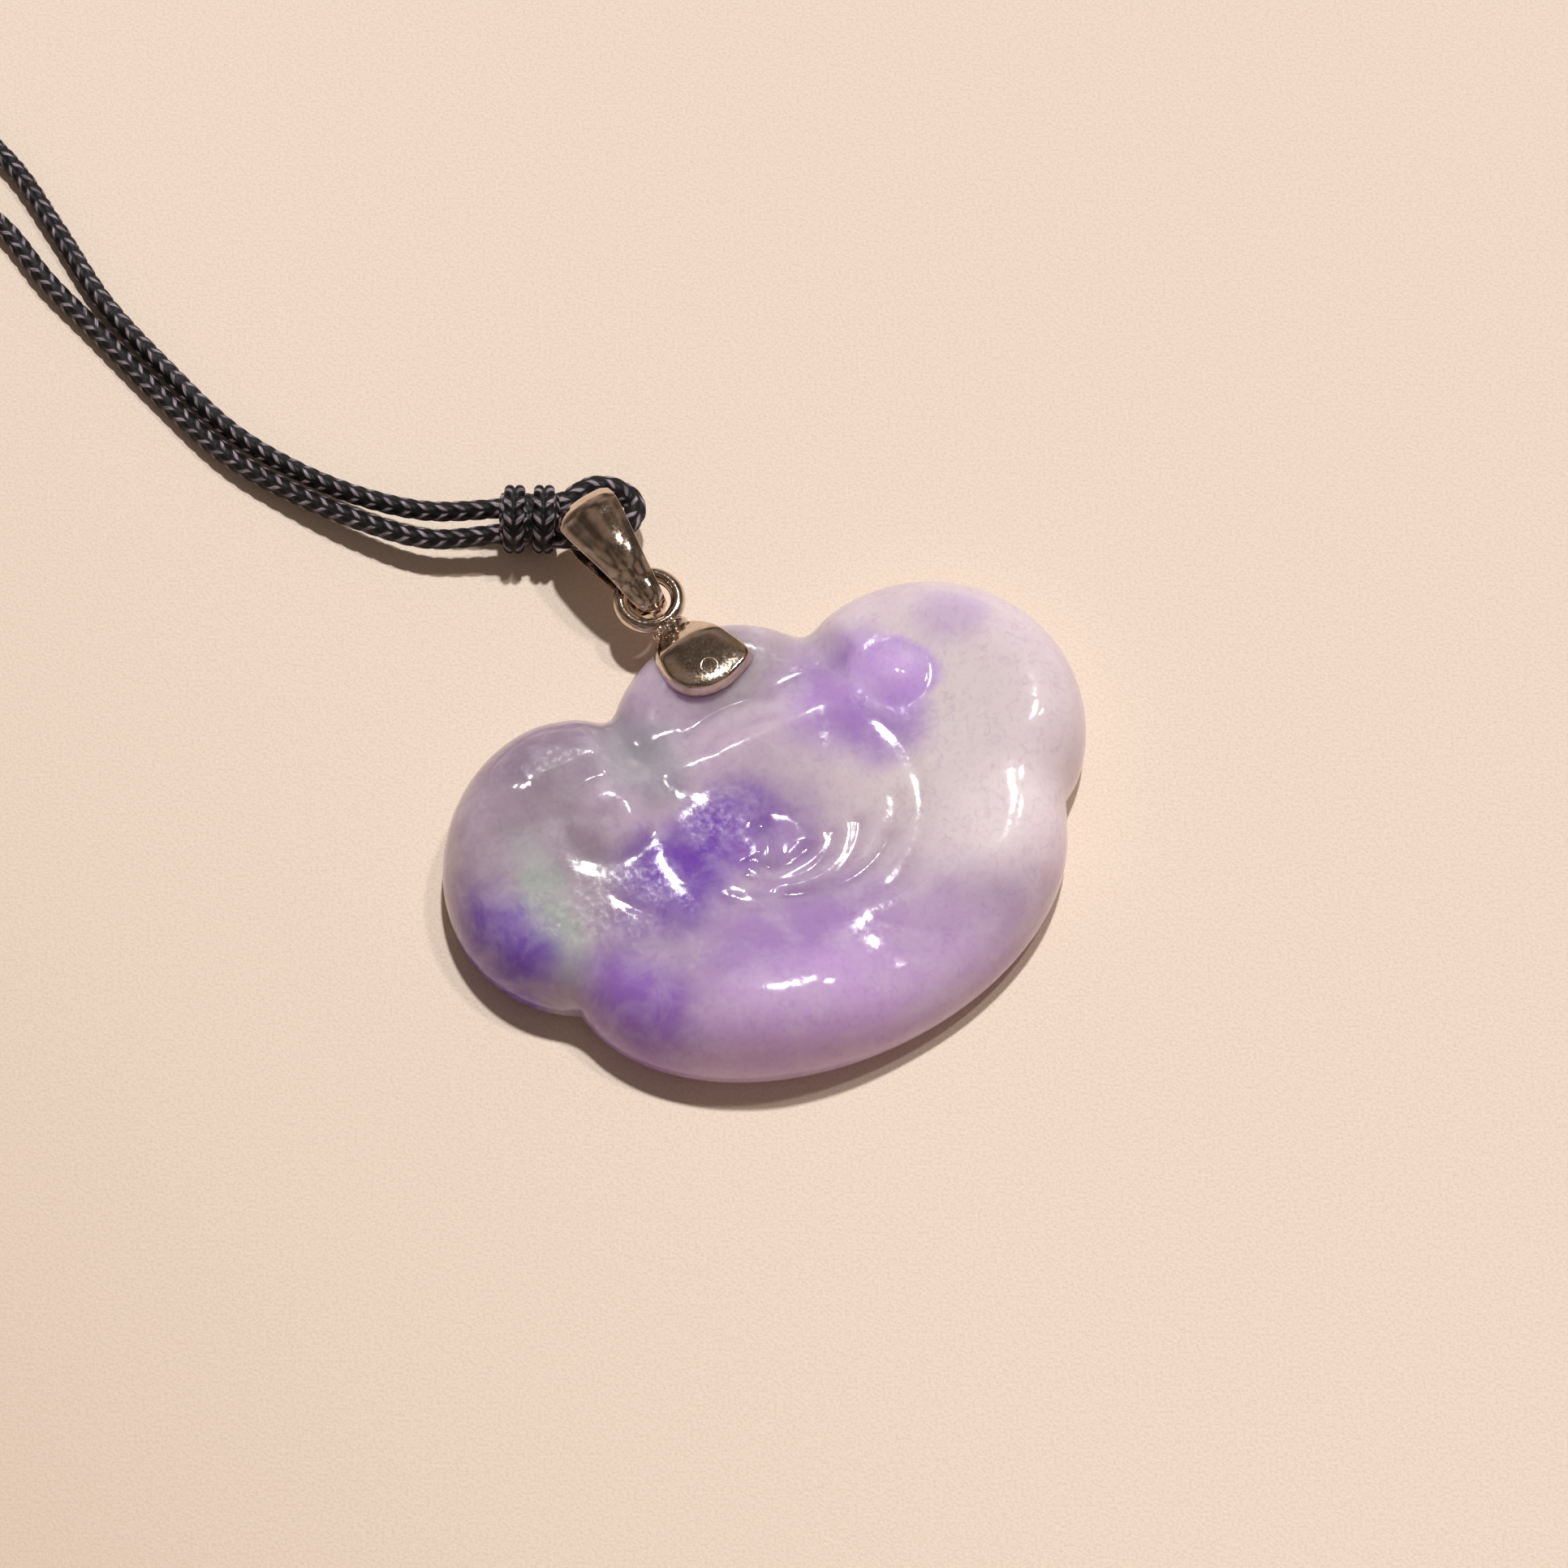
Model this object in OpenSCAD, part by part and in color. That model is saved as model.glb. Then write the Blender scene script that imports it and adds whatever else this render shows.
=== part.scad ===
// Jade cloud-head pendant on a braided cord, lying on its back on a table.
// Millimetres. The origin is the middle of the carving's flat back, +Z is up,
// and the pendant's own up direction is turned from +Y by jade_turn.

/* [Carving] */
// Width across the two side lobes
jade_w = 47.6; // [38:0.2:60]
// Height from the crown lobe's top to the lower edge
jade_h = 34.6; // [28:0.2:44]
// Thickness at the highest point of the front
jade_t = 7.8; // [7:0.1:10]
// Height of the rim's widest line above the flat back
rim_h = 1.6; // [1.5:0.1:2.4]
// Depth of the widest carved grooves
groove_depth = 0.5; // [0.2:0.05:0.9]
// Half width of the widest carved grooves
groove_w = 0.7; // [0.5:0.05:1.2]
// Turn of the pendant on the table, anticlockwise from above
jade_turn = 26.5; // [0:0.5:45]

/* [Pinch cap] */
// Width of the front leaf
leaf_w = 6.4; // [5.4:0.1:7.2]
// Height of the front leaf's domed face above the table
leaf_top = 6.6; // [6.4:0.05:7.4]
// Thickness of the flat back leaf
back_leaf_t = 0.65; // [0.5:0.05:0.8]
// Gap between the cap and the stone
stone_gap = 0.1; // [0.05:0.01:0.15]
// Lean of the metalwork against the stone, anticlockwise from above
lean = 7; // [0:0.5:12]
// Diameter of the pin through leaves and stone
pin_d = 1.44; // [1:0.02:1.8]
// Radial gap between the pin and its holes
pin_gap = 0.05; // [0.03:0.01:0.1]
// Diameter of the neck between the leaves and the ring
neck_d = 1.6; // [1.3:0.05:1.9]
// Length of the neck from the leaf's tip to the ring
neck_l = 0.9; // [0.7:0.05:1.6]
// Outer diameter of the ring
ring_d = 5.2; // [5:0.05:6]
// Diameter of the ring's wire
ring_wire_d = 1.1; // [0.9:0.05:1.15]
// Height of the ring's middle above the table
ring_z = 3.5; // [3.3:0.05:3.8]

/* [Bail] */
// Length of the bail
bail_l = 10.5; // [10:0.1:11.5]
// Width at its wide end
bail_w = 4.7; // [4:0.1:5.2]
// Width at its narrow end
bail_tip_w = 1.9; // [1.7:0.05:2.2]
// Height of the loop at its wide end, front to back
bail_h = 4.9; // [4.4:0.05:5.2]
// Height of the loop at its narrow end
bail_tip_h = 3; // [2.9:0.05:3.3]
// Wall of the loop
bail_wall = 0.6; // [0.5:0.05:0.65]
// Roll of the bail about its length
bail_roll = -10; // [-12:1:0]

/* [Cord] */
// Diameter of the braided cord
cord_d = 1.5; // [1.2:0.05:1.7]
// Diameter of the knot's wraps
knot_d = 5.2; // [4.6:0.1:5.6]
// Width of one wrap
wrap_w = 2.1; // [1.6:0.05:2.4]
// Length of the barrel clasp
clasp_l = 14; // [12:0.5:16]
// Diameter of the barrel clasp
clasp_d = 4; // [3:0.1:4.2]

/* [Hidden] */
$fn = 64;

jade_colour = [0.70, 0.60, 0.76];
metal_colour = [0.80, 0.79, 0.76];
cord_colour = [0.06, 0.06, 0.07];

// Lobes of the carving, as ellipses. Centre x and half width are shares of jade_w,
// centre y and half height are shares of jade_h.
CX = 0;
CY = 1;
HALF_W = 2;
HALF_H = 3;
TILT = 4;
LOBES = [
    [ 0.008, -0.114, 0.396, 0.371,   0],
    [-0.280,  0.138, 0.212, 0.318, -28],
    [ 0.288,  0.114, 0.225, 0.324,  15],
    [ 0.013,  0.238, 0.199, 0.277,   0],
    [ 0.300, -0.045, 0.102, 0.180,   8]
];
crown = LOBES[3];
// Share of a lobe that is flat on the back
flat_share = 0.72;

// The front is a plate with a rounded edge that dips towards its middle.
// Places and widths are shares of jade_w, rises are shares of jade_t, slopes are ratios.
plate_level = 0.872;
dip_mid = [-0.0063, -0.0021];
dip_round = 0.0257;
dip_slope = 0.15;
// Distance from the dip's middle at which the plate is at its level
dip_level_at = 0.2731;
// The left lobe is a slope of its own, which fades out downwards
left_from = -0.1366;
left_over = -0.0714;
left_widens = 0.0840;
left_widens_over = -0.1681;
left_rise = 0.1026;
left_slope = 0.18;
left_top = 0.2185;
left_fade = 0.1891;
// The right lobe falls away upwards
right_from = 0.0630;
right_over = 0.2521;
right_slope = 0.12;
right_low = -0.0210;
// A low mound at the lower left
mound_mid = [-0.1639, -0.2626];
mound_reach = 0.1786;
mound_rise = 0.1026;
// Parts that stand higher or lower, or have a wider or narrower edge. Each begins at a left
// and a right side and at a y, and grows over a width, which is below 0 towards the left or
// downwards. Lift is a share of jade_t, wider is a share of jade_w.
LEFT = 0;
LEFT_OVER = 1;
RIGHT = 2;
RIGHT_OVER = 3;
FROM_Y_AT = 4;
Y_OVER = 5;
LIFT = 6;
WIDER = 7;
PARTS = [
    [-0.2101, 0.0504,  0.2311, -0.0504,  0.1450,  0.0798, -0.2051,  0     ],
    [-0.0735, 0.1471,  0.3151, -0.1050, -0.1681, -0.1050, -0.1410,  0     ],
    [-0.2206, 0.0630,  0.2416, -0.0630,  0.1681,  0.0630,  0,      -0.0336],
    [-1,      0.1,     1,      -0.1,    -0.1050, -0.1050,  0,       0.0252],
    [-1,      0.1,    -0.1891, -0.0840, -1,       0.1,     0,      -0.0252]
];
// Width of the rounded edge, how full it is, and how wide the creases between lobes are
edge_width = 0.1050;
edge_power = 2.3;
soft_crease = 0.0294;

// Swellings of the front. From x, y to x, y and radius are shares of jade_w,
// rise is a share of jade_t, full is how flat the top is.
FROM_X = 0;
FROM_Y = 1;
TO_X = 2;
TO_Y = 3;
RADIUS = 4;
RISE = 5;
FULL = 6;
SWELLS = [
    [-0.021, -0.014, -0.021, -0.014, 0.050, 0.033, 2],
    [-0.229,  0.118, -0.229,  0.118, 0.066, 0.083, 4],
    [ 0.255,  0.146,  0.255,  0.146, 0.057, 0.101, 2],
    [ 0.202,  0.128,  0.202,  0.128, 0.090, 0.024, 2],
    [-0.356,  0.188, -0.340,  0.208, 0.036, 0.033, 2]
];

// Carved lines, as parts of ellipses. Centre and radii are shares of jade_w, first and
// last are angles, cut is a share of groove_depth (below 0 is a raised line),
// wide is a share of groove_w.
MID_X = 0;
MID_Y = 1;
RAD_X = 2;
RAD_Y = 3;
FIRST = 4;
LAST = 5;
CUT = 6;
WIDE = 7;
LINES = [
    [ 0.017,  0.017, 0.196, 0.190, 150, 385,  1.0, 1.0],
    [ 0.010,  0.013, 0.166, 0.140, 160, 370,  0.8, 0.9],
    [-0.004, -0.004, 0.113, 0.101,   0, 360,  0.7, 0.8],
    [-0.015, -0.008, 0.084, 0.070,   0, 360,  0.6, 0.7],
    [-0.021, -0.017, 0.050, 0.036,   0, 360,  0.6, 0.7],
    [ 0.017,  0.017, 0.232, 0.226, 235, 285,  0.5, 0.8],
    [-0.229,  0.118, 0.072, 0.072,   0, 360,  1.0, 1.0],
    [ 0.000,  0.158, 0.315, 0.315, 205, 238, -0.7, 1.2],
    [ 0.336,  0.126, 0.431, 0.431, 222, 247, -0.6, 1.0],
    [ 0.006,  0.120, 0.110, 0.085,  40, 140,  0.8, 0.8],
    [ 0.006,  0.110, 0.078, 0.060,  35, 150,  0.6, 0.7]
];

// Mesh of the carving
spokes = 108;
front_rings = 34;
back_rings = 9;

function sum(list, i = 0, total = 0) = i == len(list) ? total : sum(list, i + 1, total + list[i]);
function smooth(t) = let (k = min(1, max(0, t))) k * k * (3 - 2 * k);
function tanh(t) = let (e = exp(-2 * t)) (1 - e) / (1 + e);

// Distance of a point from a lobe's middle, 1 on the lobe's edge
function lobe_share(lobe, x, y) = let (
    dx = x - lobe[CX] * jade_w,
    dy = y - lobe[CY] * jade_h,
    along = dx * cos(lobe[TILT]) + dy * sin(lobe[TILT]),
    across = dy * cos(lobe[TILT]) - dx * sin(lobe[TILT])
) norm([along / (lobe[HALF_W] * jade_w), across / (lobe[HALF_H] * jade_h)]);

// How far a ray from the origin at an angle runs to the far side of a lobe
function lobe_reach(lobe, angle) = let (
    mx = lobe[CX] * jade_w,
    my = lobe[CY] * jade_h,
    a = lobe[HALF_W] * jade_w,
    b = lobe[HALF_H] * jade_h,
    t = lobe[TILT],
    px = (-mx * cos(t) - my * sin(t)) / a,
    py = (-my * cos(t) + mx * sin(t)) / b,
    qx = cos(angle - t) / a,
    qy = sin(angle - t) / b,
    qq = qx * qx + qy * qy,
    pq = px * qx + py * qy,
    pp = px * px + py * py,
    inside = pq * pq - qq * (pp - 1)
) inside < 0 ? 0 : (sqrt(inside) - pq) / qq;

function outline_reach(angle) = max([for (lobe = LOBES) lobe_reach(lobe, angle)]);

// How far a point lies inside a lobe, and inside the outline over softened creases
tiny = 0.00001;
function depth_in(lobe, x, y) = let (
    share = max(0.1 * tiny, lobe_share(lobe, x, y)),
    off = max(tiny, norm([x - lobe[CX] * jade_w, y - lobe[CY] * jade_h]))
) off * (1 - share) / share;
function soft_max(a, b) = let (
    crease = soft_crease * jade_w,
    near = max(0, 1 - abs(a - b) / crease)
) max(a, b) + near * near * crease / 4;
function inside_by(x, y, i = len(LOBES) - 1) = i == 0 ? depth_in(LOBES[0], x, y) :
    soft_max(inside_by(x, y, i - 1), depth_in(LOBES[i], x, y));

// How much of a part there is at a place given as shares of jade_w
function part_there(row, x, y) = smooth((x - row[LEFT]) / row[LEFT_OVER])
    * smooth((x - row[RIGHT]) / row[RIGHT_OVER]) * smooth((y - row[FROM_Y_AT]) / row[Y_OVER]);

// Height of the plate at a place given as shares of jade_w
function plate(x, y) = let (
    away = norm([x - dip_mid.x, y - dip_mid.y, dip_round]),
    widened = left_over - left_widens * smooth(y / left_widens_over),
    left = smooth((x - left_from) / widened),
    right = smooth((x - right_from) / right_over),
    mound = norm([x, y] - mound_mid) / mound_reach,
    lifts = sum([for (row = PARTS) row[LIFT] * part_there(row, x, y)])
) jade_t * (plate_level + left * left_rise + mound_rise * exp(-mound * mound) + lifts)
    + jade_w * (1 - left) * dip_slope * (away - dip_level_at)
    - jade_w * left * left_slope * left_fade * tanh(max(0, left_top - y) / left_fade)
    - jade_w * right * right_slope * max(0, y - right_low);

// Height of the front without its carving
function domes(x, y) = let (
    px = x / jade_w,
    py = y / jade_w,
    edge = jade_w * (edge_width + sum([for (row = PARTS) row[WIDER] * part_there(row, px, py)])),
    gone = min(1, max(0, 1 - inside_by(x, y) / edge))
) rim_h + (plate(px, py) - rim_h) * sqrt(1 - pow(gone, edge_power));

// Distance of a point from a segment
function off_segment(p, a, b) = let (
    ab = b - a,
    t = ab * ab == 0 ? 0 : min(1, max(0, (p - a) * ab / (ab * ab)))
) norm(p - a - t * ab);

function swell(row, x, y) = let (
    d = off_segment([x, y], jade_w * [row[FROM_X], row[FROM_Y]], jade_w * [row[TO_X], row[TO_Y]]),
    k = min(1, d / (row[RADIUS] * jade_w))
) row[RISE] * jade_t * pow(1 - pow(k, row[FULL]), 2);

// How much of a carved line is left at an angle, fading over its last degrees
function within(angle, first, last) = last - first >= 360 ? 1 : let (
    turned = angle < first ? angle + 360 : angle,
    fade = 12
) smooth((turned - first) / fade) * smooth((last - turned) / fade);

function carved(row, x, y) = let (
    dx = (x / jade_w - row[MID_X]) / row[RAD_X],
    dy = (y / jade_w - row[MID_Y]) / row[RAD_Y],
    angle = atan2(dy, dx),
    turned = angle < 0 ? angle + 360 : angle,
    off = (norm([dx, dy]) - 1) * min(row[RAD_X], row[RAD_Y]) * jade_w / (row[WIDE] * groove_w)
) row[CUT] * groove_depth * exp(-off * off) * within(turned, row[FIRST], row[LAST]);

// Height of the finished front; the carving fades out towards the rim
plain_rim_share = 0.2;
function front(x, y, share) = let (
    raised = sum([for (row = SWELLS) swell(row, x, y)]),
    cut = sum([for (row = LINES) carved(row, x, y)])
) domes(x, y) + (raised - cut) * smooth((1 - share) / plain_rim_share);

// The back is flat, rounds up to the rim, and is hollowed behind the crown for the back leaf.
// The hollow's low edge and slope are shares of jade_h, its half width and side slope of leaf_w.
hollow_low = 0.25;
hollow_slope = 0.07;
hollow_side = 0.75;
hollow_side_slope = 0.5;
leaf_floor = 0.65;
leaf_room = leaf_floor + back_leaf_t + stone_gap;
function back_round(lobe, x, y) = let (
    t = min(1, max(0, (lobe_share(lobe, x, y) - flat_share) / (1 - flat_share)))
) rim_h * (1 - sqrt(1 - t * t));
function back_hollow(x, y) = let (
    rise = smooth((y / jade_h - hollow_low) / hollow_slope),
    aside = abs(x - crown[CX] * jade_w) / leaf_w
) leaf_room * rise * (1 - smooth((aside - hollow_side) / hollow_side_slope));
function back(x, y) =
    max(min([for (lobe = LOBES) back_round(lobe, x, y)]), back_hollow(x, y));

// Rings of the carving's mesh crowd towards the rim, where the front is steepest
crowding = 1.6;
function ring_share(i, rings) = 1 - pow(1 - i / rings, crowding);
function ring_point(i, rings, k) =
    let (angle = k * 360 / spokes, share = ring_share(i, rings), r = outline_reach(angle) * share)
    [r * cos(angle), r * sin(angle), share];

module carving_solid() {
    flat = [for (i = [1 : front_rings - 1]) for (k = [0 : spokes - 1]) ring_point(i, front_rings, k)];
    rim = [for (k = [0 : spokes - 1]) ring_point(1, 1, k)];
    under = [for (i = [back_rings - 1 : -1 : 1]) for (k = [0 : spokes - 1]) ring_point(i, back_rings, k)];
    points = concat(
        [[0, 0, front(0, 0, 0)]],
        [for (p = flat) [p.x, p.y, front(p.x, p.y, p.z)]],
        [for (p = rim) [p.x, p.y, rim_h]],
        [for (p = under) [p.x, p.y, back(p.x, p.y)]],
        [[0, 0, 0]]
    );
    bands = front_rings + back_rings - 2;
    last = len(points) - 1;
    faces = concat(
        [for (k = [0 : spokes - 1]) [0, 1 + (k + 1) % spokes, 1 + k]],
        [for (i = [0 : bands - 1]) for (k = [0 : spokes - 1]) let (
            a = 1 + i * spokes + k,
            b = 1 + i * spokes + (k + 1) % spokes
        ) each [[a, b, b + spokes], [a, b + spokes, a + spokes]]],
        [for (k = [0 : spokes - 1]) [last, last - spokes + k, last - spokes + (k + 1) % spokes]]
    );
    polyhedron(points, faces);
}

// Places of the metalwork. Its own frame has its origin at the pin, across is u, along is v.
pin_share = 0.384;
pin_x = 0.012 * jade_w;
pin_y = pin_share * jade_h;
function on_stone(u, v) =
    [pin_x + u * cos(lean) - v * sin(lean), pin_y + u * sin(lean) + v * cos(lean)];
// The leaf is the overlap of a lower circle and two side circles
leaf_low_r = 0.571 * leaf_w;
leaf_low_v = 0.31 * leaf_w;
leaf_side_r = 0.5635 * leaf_w;
leaf_side_u = 0.0635 * leaf_w;
leaf_side_v = 0.143 * leaf_w;
leaf_tip_v = leaf_side_v + sqrt(leaf_side_r * leaf_side_r - leaf_side_u * leaf_side_u);
leaf_sphere_r = 1.05 * leaf_w;
// The slot ends just past the stone's rim
crown_v = (crown[CY] + crown[HALF_H] - pin_share) * jade_h;
slot_end_v = crown_v + stone_gap;
// A stem runs past the slot's end and joins both leaves to the neck
stem_w = 0.8 * neck_d;
stem_l = 0.5 * neck_d;
stem_end_v = slot_end_v + 0.3 * neck_d;
stem_from_v = min(leaf_tip_v, slot_end_v) - stem_l;
// The cap ends at the leaf's tip or near the crown's edge, whichever is further
tip_short = 0.0075 * leaf_w;
cap_end_v = max(leaf_tip_v, crown_v - tip_short);
ring_r = (ring_d - ring_wire_d) / 2;
ring_hole_r = ring_r - ring_wire_d / 2;
ring_v = cap_end_v + neck_l + ring_d / 2;

module on_metal_frame() {
    rotate([0, 0, jade_turn]) translate([pin_x, pin_y, 0]) rotate([0, 0, lean]) children();
}

module leaf_outline() {
    intersection() {
        translate([0, leaf_low_v]) circle(leaf_low_r);
        translate([-leaf_side_u, leaf_side_v]) circle(leaf_side_r);
        translate([leaf_side_u, leaf_side_v]) circle(leaf_side_r);
    }
    translate([-stem_w / 2, stem_from_v]) square([stem_w, stem_end_v - stem_from_v]);
}

// Section of the crown with its gap, extruded across the leaf
module stone_slot() {
    steps = 24;
    low_v = -0.5 * leaf_w;
    function at(i) = crown_v - (crown_v - low_v) * pow(1 - i / steps, 2);
    // It clears the stone's highest point across the leaf
    half_steps = 3;
    ceiling = [for (i = [0 : steps]) [
        at(i) + stone_gap,
        stone_gap + max([for (k = [-half_steps : half_steps])
            let (p = on_stone(k * leaf_w / 2 / half_steps, at(i))) domes(p.x, p.y)])
    ]];
    floor_z = leaf_floor + back_leaf_t;
    outline = concat(ceiling, [[slot_end_v, floor_z], [low_v, floor_z]]);
    rotate([90, 0, 90]) linear_extrude(2 * leaf_w, center = true) polygon(outline);
}

module leaves() {
    difference() {
        intersection() {
            translate([0, 0, leaf_floor]) linear_extrude(jade_t) leaf_outline();
            translate([0, 0, leaf_top - leaf_sphere_r]) sphere(leaf_sphere_r);
        }
        stone_slot();
    }
}

module along_v(v, d, l) {
    translate([0, v, ring_z]) rotate([-90, 0, 0]) cylinder(d = d, h = l);
}

module pinch_cap() {
    neck_from_v = slot_end_v + 2 * stone_gap;
    collar_d = 1.3 * neck_d;
    collar_l = 0.3 * neck_d;
    color(metal_colour) on_metal_frame() difference() {
        union() {
            leaves();
            along_v(neck_from_v, neck_d, ring_v - ring_r - neck_from_v);
            along_v(cap_end_v, collar_d, collar_l);
            translate([0, ring_v, ring_z])
                rotate_extrude() translate([ring_r, 0]) circle(d = ring_wire_d);
        }
        cylinder(d = pin_d + 2 * pin_gap, h = jade_t);
    }
}

module cap_pin() {
    color(metal_colour) on_metal_frame()
        translate([0, 0, leaf_floor]) cylinder(d = pin_d, h = leaf_top - leaf_floor);
}

module jade_carving() {
    color(jade_colour) difference() {
        rotate([0, 0, jade_turn]) carving_solid();
        on_metal_frame() cylinder(d = pin_d + 4 * pin_gap, h = 3 * jade_t, center = true);
    }
}

// Places of the bail in the metalwork's frame
bail_play = 0.15;
tip_r = bail_tip_h / 2;
wide_r = bail_h / 2;
bail_low_v = ring_v - ring_hole_r + bail_play;
tip_v = bail_low_v + tip_r;
wide_v = bail_low_v + bail_l - wide_r;
tip_z = ring_z;
wide_z = 3.45;
bail_round_r = 0.68 * bail_w;
bail_skew = 0.1 * bail_w;

// Two circles joined by their outer tangents, as points round the outside
arc_steps = 24;
function arc(mid, r, first, last) = [for (i = [0 : arc_steps])
    let (angle = first + (last - first) * i / arc_steps) mid + r * [cos(angle), sin(angle)]];
function drop_shape(r0, r1) = let (
    from = [tip_v, tip_z],
    to = [wide_v, wide_z],
    heading = atan2(to.y - from.y, to.x - from.x),
    side = acos((r0 - r1) / norm(to - from))
) concat(
    arc(to, r1, heading - side, heading + side),
    arc(from, r0, heading + side, heading + 360 - side)
);

// Half widths of the bail from its narrow end: place along it as a share of bail_l, and
// half width as a share of the way from the narrow end's to the wide end's
ALONG = 0;
FLARE = 1;
FLARES = [
    [0, 0], [0.006, 0], [0.015, 0.01], [0.03, 0.03], [0.06, 0.07], [0.1, 0.12], [0.28, 0.34],
    [0.46, 0.56], [0.62, 0.78], [0.74, 0.93], [0.82, 0.99], [0.88, 1], [0.92, 1], [0.95, 1],
    [0.97, 1], [0.985, 1], [1, 1]
];
// The wide end is an arc, a little skewed to the right. The narrow end is rounded to lie in the ring.
tip_round_r = 0.6 * bail_tip_w;
tip_flat = 0.2 * bail_tip_w;
function half_width(row, side) = let (
    straight = (bail_tip_w + row[FLARE] * (bail_w - bail_tip_w)) / 2,
    past = row[ALONG] * bail_l - (bail_l - bail_round_r),
    round = past < 0 ? bail_w : side * bail_skew + sqrt(max(0, bail_round_r * bail_round_r - past * past)),
    to_tip = tip_round_r - row[ALONG] * bail_l,
    tip_round = to_tip < 0 ? bail_w : sqrt(tip_round_r * tip_round_r - to_tip * to_tip)
) min(straight, round, max(tip_flat, tip_round));

module bail_outline() {
    last = len(FLARES) - 1;
    polygon(concat(
        [for (row = FLARES) [half_width(row, 1), bail_low_v + row[ALONG] * bail_l]],
        [for (i = [last : -1 : 0]) [-half_width(FLARES[i], -1), bail_low_v + FLARES[i][ALONG] * bail_l]]
    ));
}

module across_bail(shape, w) {
    rotate([90, 0, 90]) linear_extrude(w, center = true) polygon(shape);
}

module tapered_bail() {
    color(metal_colour) on_metal_frame() translate([0, 0, wide_z]) rotate([0, bail_roll, 0])
        translate([0, 0, -wide_z]) difference() {
            intersection() {
                across_bail(drop_shape(tip_r, wide_r), 2 * bail_w);
                linear_extrude(3 * bail_h) bail_outline();
            }
            across_bail(drop_shape(tip_r - bail_wall, wide_r - bail_wall), 3 * bail_w);
        }
}

// The cord's route, chosen by hand. Both necklace strands start at the knot. The bail's
// strand starts at the knot's other face, passes through the bail and comes back to the knot.
cord_z = 0.8;
UPPER_ROUTE = [
    [-20.9, 26.8, 2.6], [-26, 26.8, 2.2], [-31, 28.2, 1.8], [-36, 30.7, 1.3], [-41, 34.2, 1],
    [-46, 39.4, cord_z], [-51, 45.2, cord_z], [-55, 51.6, cord_z], [-59, 57.6, cord_z], [-64, 62, cord_z],
    [-71, 63.6, cord_z], [-85, 63.6, cord_z], [-99, 63.6, cord_z], [-112, 63.6, cord_z], [-124, 63, cord_z],
    [-134.5, 59, cord_z], [-141, 51, cord_z], [-143, 40, cord_z], [-143, 26, cord_z], [-143, 12, cord_z],
    [-142.7, 4, 1.2], [-141, -0.9, 1.8], [-139.1, -2.9, 2.05]
];
LOWER_ROUTE = [
    [-20.9, 24.7, 2.6], [-26, 24.5, 2.2], [-31, 26.2, 1.8], [-36.3, 28.9, 1.3], [-41.4, 32.3, 1],
    [-46.7, 37.6, cord_z], [-51.9, 43.3, cord_z], [-55.5, 47.2, cord_z], [-59.3, 52.1, cord_z],
    [-63.5, 54.8, cord_z], [-68.5, 54, cord_z], [-71.5, 49.5, cord_z], [-71, 42, cord_z], [-68, 31, cord_z],
    [-65, 19, cord_z], [-64, 7, cord_z], [-66, -3, cord_z], [-72, -11, cord_z], [-81, -15, cord_z],
    [-92, -15.6, cord_z], [-104, -15.6, cord_z], [-116, -15.6, cord_z], [-123, -15.6, 1.2],
    [-127.1, -14.7, 1.8], [-129, -12.9, 2.05]
];
BAIL_ROUTE = [
    [-16.3, 24.4, 2.7], [-15.4, 24.3, 2.8], [-14.3, 24, 3], [-13.1, 24.1, 3.1], [-12, 24.5, 3.1],
    [-11.1, 25.3, 3.1], [-10.7, 26.3, 2.9], [-10.9, 27.3, 2.7], [-11.7, 28.1, 2.6], [-12.9, 28.6, 2.6],
    [-14.2, 28.5, 2.6], [-15.2, 27.9, 2.6], [-15.8, 27.4, 2.6], [-16.3, 27.2, 2.6]
];
cord_sides = 8;
ring_gap = 5.4;

// A smooth line through a route's points, with a ring about every ring_gap
function route_at(route, i) = route[min(len(route) - 1, max(0, i))];
function between(a, b, c, d, t) =
    (2 * b + (c - a) * t + (2 * a - 5 * b + 4 * c - d) * t * t + (3 * b - a - 3 * c + d) * t * t * t) / 2;
function rings_between(route, i) = max(1, round(norm(route[i + 1] - route[i]) / ring_gap));
function smooth_route(route) = concat(
    [for (i = [0 : len(route) - 2]) for (k = [0 : rings_between(route, i) - 1])
        between(route_at(route, i - 1), route[i], route[i + 1], route_at(route, i + 2),
                k / rings_between(route, i))],
    [route[len(route) - 1]]
);
function unit(v) = v / norm(v);

module cord_tube(route) {
    line = smooth_route(route);
    n = len(line);
    rings = [for (i = [0 : n - 1]) let (
        ahead = unit(line[min(n - 1, i + 1)] - line[max(0, i - 1)]),
        aside = unit(cross([0, 0, 1], ahead)),
        above = cross(ahead, aside)
    ) for (k = [0 : cord_sides - 1])
        line[i] + cord_d / 2 * (aside * cos(k * 360 / cord_sides) + above * sin(k * 360 / cord_sides))];
    faces = concat(
        [[for (k = [0 : cord_sides - 1]) k]],
        [for (i = [0 : n - 2]) for (k = [0 : cord_sides - 1]) let (
            a = i * cord_sides + k,
            b = i * cord_sides + (k + 1) % cord_sides
        ) each [[a, a + cord_sides, b + cord_sides], [a, b + cord_sides, b]]],
        [[for (k = [cord_sides - 1 : -1 : 0]) (n - 1) * cord_sides + k]]
    );
    color(cord_colour) polyhedron(rings, faces);
}

module bail_cord() {
    cord_tube(BAIL_ROUTE);
}

module neck_cord_upper() {
    cord_tube(UPPER_ROUTE);
}

module neck_cord_lower() {
    cord_tube(LOWER_ROUTE);
}

// Two wraps round a core
knot_x = -18.7;
knot_y = 25.9;
knot_core_l = 4.2;
knot_core_d = 4;
wrap_gap = 2;

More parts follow.
